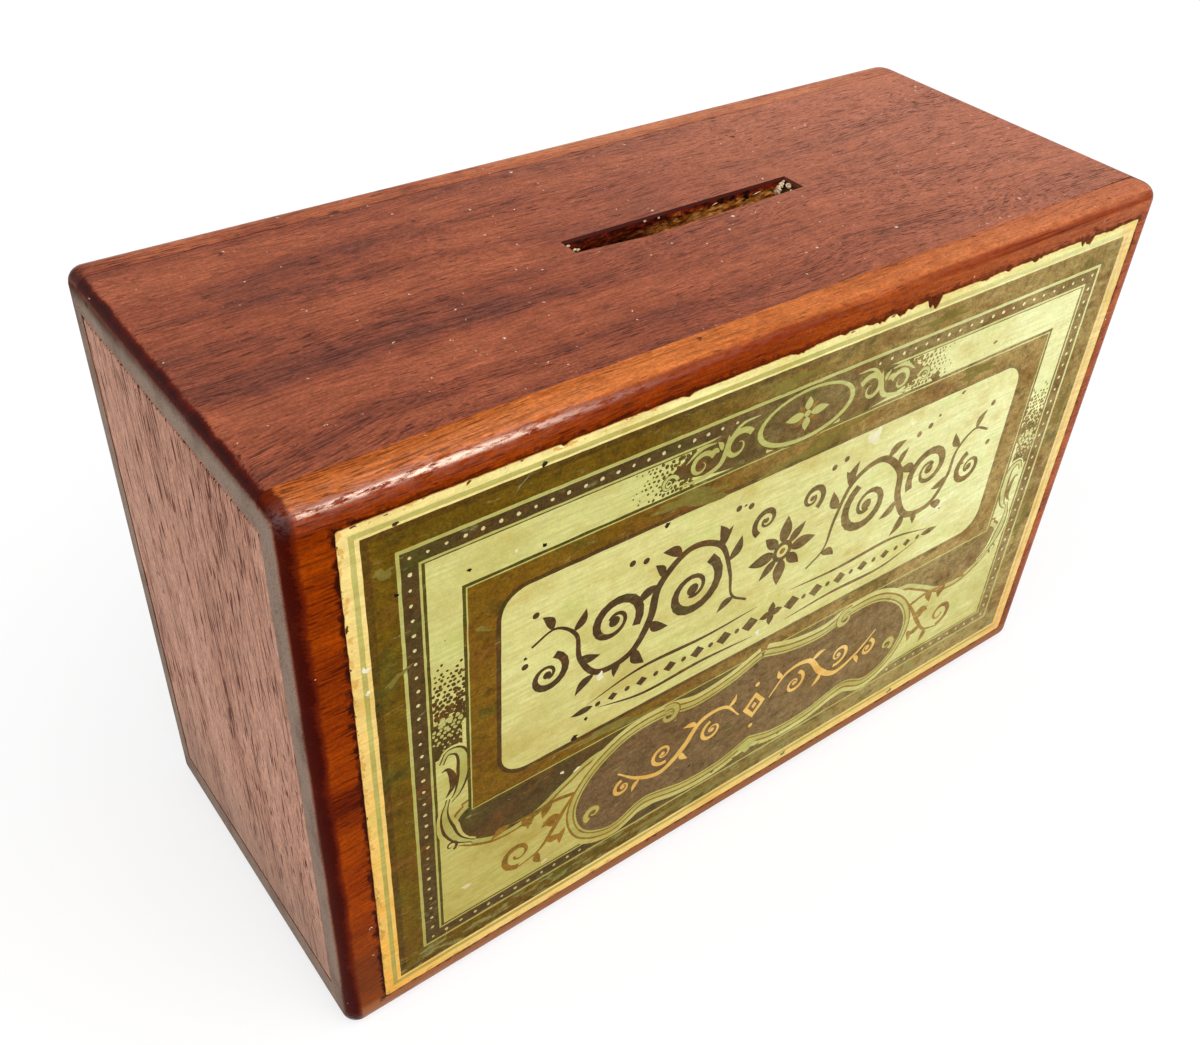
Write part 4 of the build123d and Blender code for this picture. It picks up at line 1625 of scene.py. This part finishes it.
        LOG.info("%s: %d triangles of print", sheet.name, len(triangles))
        return sheet


def net_quads(rows: int, columns: int) -> tuple[np.ndarray, np.ndarray]:
    """Numbers a grid of points and gives the numbers with the quads between them."""
    number = np.arange(rows * columns).reshape(rows, columns)
    quads = np.stack([number[:-1, :-1], number[:-1, 1:], number[1:, 1:], number[1:, :-1]], -1)
    return number, quads.reshape(-1, 4)


def slab(front: np.ndarray, back: np.ndarray) -> Shape:
    """Closes two grids of points into one solid.

    Args:
        front: rows by columns by 3, the side that faces out.
        back: the same grid on the other side.

    Returns:
        The points and the quads.
    """
    rows, columns = front.shape[:2]
    number, quads = net_quads(rows, columns)
    round_edge = np.concatenate([number[0, :-1], number[:-1, -1], number[-1, :0:-1], number[:0:-1, 0]])
    after = np.roll(round_edge, -1)
    walls = np.stack([after, round_edge, round_edge + rows * columns, after + rows * columns], 1)
    faces = np.vstack([quads, quads[:, ::-1] + rows * columns, walls])
    return np.vstack([front.reshape(-1, 3), back.reshape(-1, 3)]), faces.tolist()


def value_noise(u: np.ndarray, v: np.ndarray, seed: int) -> np.ndarray:
    """Gives smooth noise from 0 to 1 over two coordinates: random net values, eased between nodes.

    Args:
        u, v: the coordinates.
        seed: the start of the random numbers.

    Returns:
        The noise at each place.
    """
    rng = np.random.default_rng(seed)
    size = 64
    net = rng.uniform(0, 1, (size, size))
    iu, iv = np.floor(u).astype(int), np.floor(v).astype(int)
    fu, fv = u - iu, v - iv
    fu, fv = fu * fu * (3 - 2 * fu), fv * fv * (3 - 2 * fv)
    left, right, below, above = iu % size, (iu + 1) % size, iv % size, (iv + 1) % size
    low = net[left, below] * (1 - fu) + net[right, below] * fu
    high = net[left, above] * (1 - fu) + net[right, above] * fu
    return low * (1 - fv) + high * fv


@dataclass
class CoinSlot:
    """The rough inside of the sawn coin slot, with its splinters and crumbs."""

    left: float = -17.15
    right: float = 24.35
    back: float = 2.4
    top: float = 98.5
    lip: float = 0.4
    floor: float = 93.5
    seed: int = 5

    def torn_wall(self) -> Shape:
        """Shapes the far wall: ridges of torn fibre that stand out from the saw cut.

        The height is a fine noise drawn out along a slope of about 3 degrees, plus a coarse one,
        and it falls to nothing at the wall's borders.

        Returns:
            Its points and faces.
        """
        x = np.linspace(self.left + 0.25, self.right - 0.25, 180)
        z = np.linspace(self.top - self.lip, self.floor + 0.1, 26)
        x, z = np.meshgrid(x, z)
        along, across = x + z * 0.05, z - x * 0.05
        ridge = value_noise(along / 1.3 + 40, across / 0.45 + 90, self.seed)
        coarse = value_noise(x / 3.0 + 20, z / 1.2, self.seed + 1)
        rows, columns = x.shape
        u, v = np.linspace(0, 1, columns)[None, :], np.linspace(0, 1, rows)[:, None]
        border = np.minimum(np.minimum(u, 1 - u) * 40, np.minimum(v, 1 - v) * 10).clip(0, 1)
        proud = (0.03 + border * (0.30 * ridge ** 2 + 0.22 * coarse))
        front = np.stack([x, self.back - proud, z], -1)
        back = np.stack([x, np.full_like(x, self.back - 0.005), z], -1)
        return slab(front, back)

    def splinter(self, start: tuple[float, float, float], end: tuple[float, float, float], size: float,
                 bow: float, seed: int) -> Shape:
        """Shapes one splinter: a flattened tube that swells and closes along a bowed line.

        The radius at a share t of the length is the size times the sine of a half turn to the
        power 0.6, with a random stray per ring, and the section is half as thick as it is wide.

        Args:
            start, end: its tips.
            size: its greatest radius.
            bow: the rise of its middle line.
            seed: the start of the random numbers.

        Returns:
            Its points and faces.
        """
        rng = np.random.default_rng(seed)
        sides = 6
        first, last = np.array(start), np.array(end)
        t = np.linspace(0, 1, 9)[1:-1, None]
        axis = (last - first) / np.linalg.norm(last - first)
        side = np.cross(axis, (0.0, 0.0, 1.0))
        side /= np.linalg.norm(side)
        lift = np.cross(side, axis)
        middle = first + (last - first) * t + lift * bow * np.sin(math.pi * t)
        angle = np.linspace(0, 2 * math.pi, sides, endpoint=False)[None, :, None]
        radius = size * np.sin(math.pi * t[:, :, None]) ** 0.6 * rng.uniform(0.7, 1.2, (len(t), sides, 1))
        rings = middle[:, None, :] + radius * (np.cos(angle) * side + 0.5 * np.sin(angle) * lift)
        points = np.vstack([rings.reshape(-1, 3), first[None], last[None]])
        number = np.arange(len(t) * sides).reshape(-1, sides)
        after = np.roll(number, -1, axis=1)
        quads = np.stack([number[:-1], after[:-1], after[1:], number[1:]], -1).reshape(-1, 4)
        foot, tip = len(t) * sides, len(t) * sides + 1
        caps = [(foot, int(b), int(a)) for a, b in zip(number[0], after[0])]
        caps += [(tip, int(a), int(b)) for a, b in zip(number[-1], after[-1])]
        return points, quads.tolist() + caps

    def gathered(self, shapes: list[Shape]) -> Shape:
        """Joins several closed shapes into one list of points and faces.

        Args:
            shapes: the points and faces of each.

        Returns:
            The points and faces of all.
        """
        starts = np.cumsum([0] + [len(points) for points, _ in shapes[:-1]])
        faces = [tuple(int(k) + int(start) for k in face)
                 for start, (_, group) in zip(starts, shapes) for face in group]
        return np.vstack([points for points, _ in shapes]), faces

    def build(self) -> list[bpy.types.Object]:
        """Makes the torn wall, the splinters at its right end and the crumbs on its lip.

        Returns:
            The two new pieces.
        """
        wall = add_piece("slot_torn_wall", *self.torn_wall(), TornWood().material())
        pale = Splinter().material()
        places = [((22.4, 1.9, 96.3), (23.2, 1.95, 97.7), 0.8, 0.1),
                  ((23.2, 1.9, 97.2), (23.9, 2.0, 98.1), 0.5, 0.1),
                  ((23.9, 0.5, 97.5), (24.0, 1.3, 98.1), 0.55, 0.1),
                  ((23.8, -0.5, 96.6), (24.0, 0.3, 97.5), 0.4, 0.1),
                  ((17.8, 2.15, 97.2), (19.8, 2.2, 97.5), 0.13, 0.1),
                  ((9.6, 2.15, 97.45), (10.8, 2.2, 97.7), 0.12, 0.1)]
        splinters = [self.splinter(a, b, size, bow, 60 + k) for k, (a, b, size, bow) in enumerate(places)]
        crumbs = []
        rng = np.random.default_rng(self.seed)
        spots = [(-16.9, 1.7), (-16.7, 0.4), (-16.3, 0.1), (-3.0, 2.3), (-0.6, 2.1), (23.9, 2.0)]
        for number, (x, y) in enumerate(spots):
            size = rng.uniform(0.22, 0.36)
            a = (x - size, y - size * 0.3, self.top - 0.42)
            b = (x + size, y + size * 0.3, self.top - 0.3)
            crumbs.append(self.splinter(a, b, size * 0.8, 0.05, 90 + number))
        chips = add_piece("slot_splinters", *self.gathered(splinters + crumbs), pale)
        for piece in (wall, chips):
            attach(piece, "box")
            LOG.info("%s: %d faces", piece.name, len(piece.data.polygons))
        return [wall, chips]


@dataclass
class WoodenCase:
    """The six boards and the hatch, each with its own cut of mahogany."""

    effects: Effects
    label_dirt: DirtLine
    dark_streaks: tuple[Swathe, ...] = (
        Swathe(-46, 14, 46, 10, 12, -0.07), Swathe(-5, 5.5, 30, 6, 3, -0.16),
        Swathe(-52, -10, 60, 7, 6, -0.07), Swathe(10, -12, 60, 6, 2, -0.05), Swathe(48, 8, 60, 5, 0, -0.07),
        Swathe(-50, 1, 60, 8, 10, 0.07), Swathe(-50, -22, 50, 6, 2, 0.1), Swathe(45, -17, 60, 9, 0, 0.10),
        Swathe(40, 18, 60, 10, -2, 0.08))

    def finishes(self) -> dict[str, VarnishedTimber]:
        """Names each node's finish.

        Returns:
            Each board's finish by its node.
        """
        top = VarnishedTimber(
            "mahogany_top", shift=(71, 14, -22), light=srgb(163, 90, 62), middle=srgb(145, 77, 54),
            dark=srgb(112, 62, 50), pore=srgb(70, 32, 24), sheen_tone=srgb(190, 120, 93), sheen_share=0.75,
            bend=9.0, figure_width=9.0, streak_share=0.26, streak_length=8.0, pore_length=3.0,
            pore_width=0.2, pore_limit=0.63, pore_share=0.78, grit=1.2, swathes=self.dark_streaks,
            dust_share=0.75, lip_share=1.0, crisp_stain_and_shade=1.0, edge=srgb(44, 8, 4), right_stain_and_shade=0.2,
            roughness=0.46)
        panel = VarnishedTimber(
            "mahogany_end_panel", Grain.UPRIGHT, (7, 2, 19), light=srgb(190, 144, 122),
            middle=srgb(178, 131, 108), dark=srgb(162, 114, 93), pore=srgb(86, 34, 15), edge=srgb(70, 44, 34),
            edge_share=0.3, pore_length=5.5, pore_width=0.42, pore_limit=0.612, pore_share=1.0,
            figure_width=7.0, streak_share=0.25, grit=1.15, foot=srgb(142, 112, 94), foot_share=0.6,
            roughness=0.5, ior=1.1, edge_varnish=0.0)
        return {
            "front_board": VarnishedTimber(
                "mahogany_front", shift=(3, 0, 9), sheen_tone=srgb(192, 116, 88), sheen_share=0.62,
                face_shade=1.0, face_shade_tint=srgb(190, 140, 20), pore_share=0.65, streak_share=0.28,
                blotches=0.35, grit=1.0, ior=1.06, edge_reach=4.0, crisp_stain_and_shade=0.92,
                fringe=srgb(92, 24, 4), top_stain_and_shade=0.1, right_stain_and_shade=0.3, rounding_shade_share=0.75,
                foot=srgb(112, 62, 28), foot_share=0.6, sill_share=0.7, dirt=self.label_dirt,
                # Painted highlight: a lighter band along the left half of the top edge and its rounding, the
                # glow round the window's reflection, fainter down the front face.
                swathes=(Swathe(-52, -28.6, 54, 6.5, 0, 0.22),)),
            "back_board": VarnishedTimber(
                "mahogany_back", shift=(-40, 21, 2), light=srgb(196, 118, 76), middle=srgb(174, 94, 58),
                dark=srgb(128, 56, 32), face_shade=0.7),
            "top_board": top,
            "base_board": VarnishedTimber(
                "mahogany_base", shift=(19, 7, -12), light=srgb(168, 88, 48), middle=srgb(138, 66, 36),
                dark=srgb(92, 40, 24), roughness=0.4, dust_share=0.4),
            "base_hatch": VarnishedTimber(
                "mahogany_hatch", shift=(-27, 31, 5), light=srgb(182, 98, 52), middle=srgb(152, 76, 42),
                dark=srgb(104, 48, 28), roughness=0.38, dust_share=0.4),
            "left_end_panel": panel,
            "right_end_panel": replace(
                panel, name="mahogany_end_panel_right", shift=(31, 8, -40), light=srgb(194, 140, 112),
                middle=srgb(176, 120, 94), dark=srgb(150, 96, 74), pore_length=4.5,
                pore_width=0.26, pore_limit=0.63, pore_share=0.8),
        }

    def dress(self) -> None:
        """Gives each board its finish."""
        for node, finish in self.finishes().items():
            dress_node(node, finish.material(self.effects))


def dress_node(node: str, material: bpy.types.Material) -> None:
    """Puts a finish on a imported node.

    Args:
        node: the node's name.
        material: its finish.
    """
    piece = frame["nodes"][node]
    if not piece.material_slots:
        piece.data.materials.append(material)
    for place in piece.material_slots:
        place.material = material
    LOG.info("%s: %s", node, material.name)


@dataclass
class HatchScrews:
    """The four brass screws of the hatch."""

    effects: Effects
    nodes: tuple[str, ...] = ("hatch_screw_1", "hatch_screw_2", "hatch_screw_3", "hatch_screw_4")

    def dress(self) -> None:
        """Gives the screws their one finish."""
        brass = AgedBrass().material(self.effects)
        for node in self.nodes:
            dress_node(node, brass)


@dataclass
class Studio:
    """The pale floor, the soft lamps and the camera.

    Lengths are in metres, but for the floor's gap below the box, which is in millimetres.
    """

    floor_half: float = 3.0
    floor_gap: float = 0.1
    sky_light: float = 0.45
    key_strength: float = 0.58
    fill_strength: float = 0.36
    lens: float = 38.10
    sun_spread: float = 70.0
    window_size: tuple[float, float] = (0.15, 0.36)
    window_energy: float = 11.0
    window_colour: tuple[float, float, float] = (1.0, 0.86, 0.68)
    window_aim: tuple[float, float, float] = (-0.05, -0.03, 0.098)
    window_from: tuple[float, float, float] = (0.38, -0.83, 0.41)
    window_distance: float = 0.65
    shift: tuple[float, float] = (-0.0159, 0.00766)
    camera_place: tuple[float, float, float] = (-0.11149, -0.12638, 0.18015)
    camera_turn: tuple[float, float, float] = (50.158, -3.296, -37.272)

    def seen_directly(self, graph: Graph) -> Signal:
        """Gives 1 for rays from the camera, a gloss or a clear material, and 0 for others."""
        camera, glossy, clear = (graph.give("ShaderNodeLightPath", output=f"Is {kind} Ray")
                                 for kind in ("Camera", "Glossy", "Transmission"))
        return graph.math("MAXIMUM", graph.math("MAXIMUM", camera, glossy), clear)

    def mix_by_ray(self, graph: Graph, usual: Signal, seen: Signal) -> Signal:
        """Gives one shader for rays that light the scene and another for those that look at it."""
        return graph.give("ShaderNodeMixShader", {0: self.seen_directly(graph), 1: usual, 2: seen})

    def light_sky(self) -> None:
        """Makes the even white surroundings."""
        world = bpy.data.worlds.new("pale_surroundings")
        graph = blank_graph(world)
        soft, plain = (graph.give("ShaderNodeBackground", {"Color": WHITE, "Strength": strength})
                       for strength in (self.sky_light, 1.0))
        graph.node("ShaderNodeOutputWorld", {"Surface": self.mix_by_ray(graph, soft, plain)})
        bpy.context.scene.world = world

    def lay_floor(self) -> bpy.types.Object:
        """Lays the pale floor just under the box. Part of its white is its own, so the shadow is soft.

        Returns:
            The floor.
        """
        material = bpy.data.materials.new("pale_floor")
        graph = blank_graph(material)
        paper, thin = (graph.give("ShaderNodeBsdfDiffuse", {"Color": (grey, grey, grey, 1)})
                       for grey in (0.86, 0.34))
        glow = graph.give("ShaderNodeEmission", {"Color": WHITE, "Strength": 0.68})
        both = graph.give("ShaderNodeAddShader", {0: thin, 1: glow})
        graph.node("ShaderNodeOutputMaterial", {"Surface": self.mix_by_ray(graph, paper, both)})
        half = self.floor_half * METRE
        u, v = np.meshgrid(np.linspace(-half, half, 5), np.linspace(-half, half, 5))
        points = np.stack([u, v, np.full_like(u, -self.floor_gap)], -1).reshape(-1, 3)
        floor = add_piece("floor", points, net_quads(5, 5)[1].tolist(), material)
        return floor

    def hang(self, data: bpy.types.Light | bpy.types.Camera) -> bpy.types.Object:
        """Makes the object that holds a lamp or a camera."""
        holder = bpy.data.objects.new(data.name, data)
        bpy.context.scene.collection.objects.link(holder)
        return holder

    def hang_lamps(self) -> None:
        """Hangs two broad suns, and a tall window that gives no diffuse light, so only gloss mirrors it."""
        suns = (("front_sun", self.key_strength, (0.25, -0.55, 0.8)),
                ("left_sun", self.fill_strength, (-0.88, -0.15, 0.42)))
        for name, strength, source in suns:
            sun = bpy.data.lights.new(name, "SUN")
            sun.energy = math.pi * strength
            sun.angle = math.radians(self.sun_spread)
            self.hang(sun).rotation_euler = Vector(source).to_track_quat("Z", "Y").to_euler()
        window = bpy.data.lights.new("window", "AREA")
        window.shape = "RECTANGLE"
        window.size, window.size_y = self.window_size
        window.energy, window.color = self.window_energy, self.window_colour
        pane = self.hang(window)
        pane.visible_diffuse = False
        direction = Vector(self.window_from).normalized()
        pane.location = Vector(self.window_aim) + direction * self.window_distance
        pane.rotation_euler = direction.to_track_quat("Z", "Y").to_euler()

    def set_camera(self) -> None:
        """Sets the camera at the photograph's viewpoint."""
        camera = bpy.data.cameras.new("camera")
        camera.lens = self.lens
        camera.sensor_width = 36.0
        camera.sensor_fit = "HORIZONTAL"
        camera.shift_x, camera.shift_y = self.shift
        camera.clip_start = 0.01
        holder = self.hang(camera)
        holder.location = self.camera_place
        holder.rotation_euler = Euler([math.radians(angle) for angle in self.camera_turn])
        bpy.context.scene.camera = holder

    def set_up(self) -> None:
        """Puts the whole studio round the box."""
        bpy.context.scene.view_settings.view_transform = "Standard"
        self.light_sky()
        self.lay_floor()
        self.hang_lamps()
        self.set_camera()


def main() -> None:
    """Dresses every part of the box, in order, and sets it in the studio."""
    logging.basicConfig(level=logging.INFO, format="%(name)s: %(message)s")
    back, top = (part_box(node)[1] * METRE for node in ("back_board", "top_board"))
    effects = Effects(top.x, back.y, top.z)
    label = PrintedLabel.from_frame()
    WoodenCase(effects, label.dirt_line()).dress()
    HatchScrews(effects).dress()
    CoinSlot().build()
    label.build(effects)
    Studio().set_up()


if __name__ == "__main__":
    main()
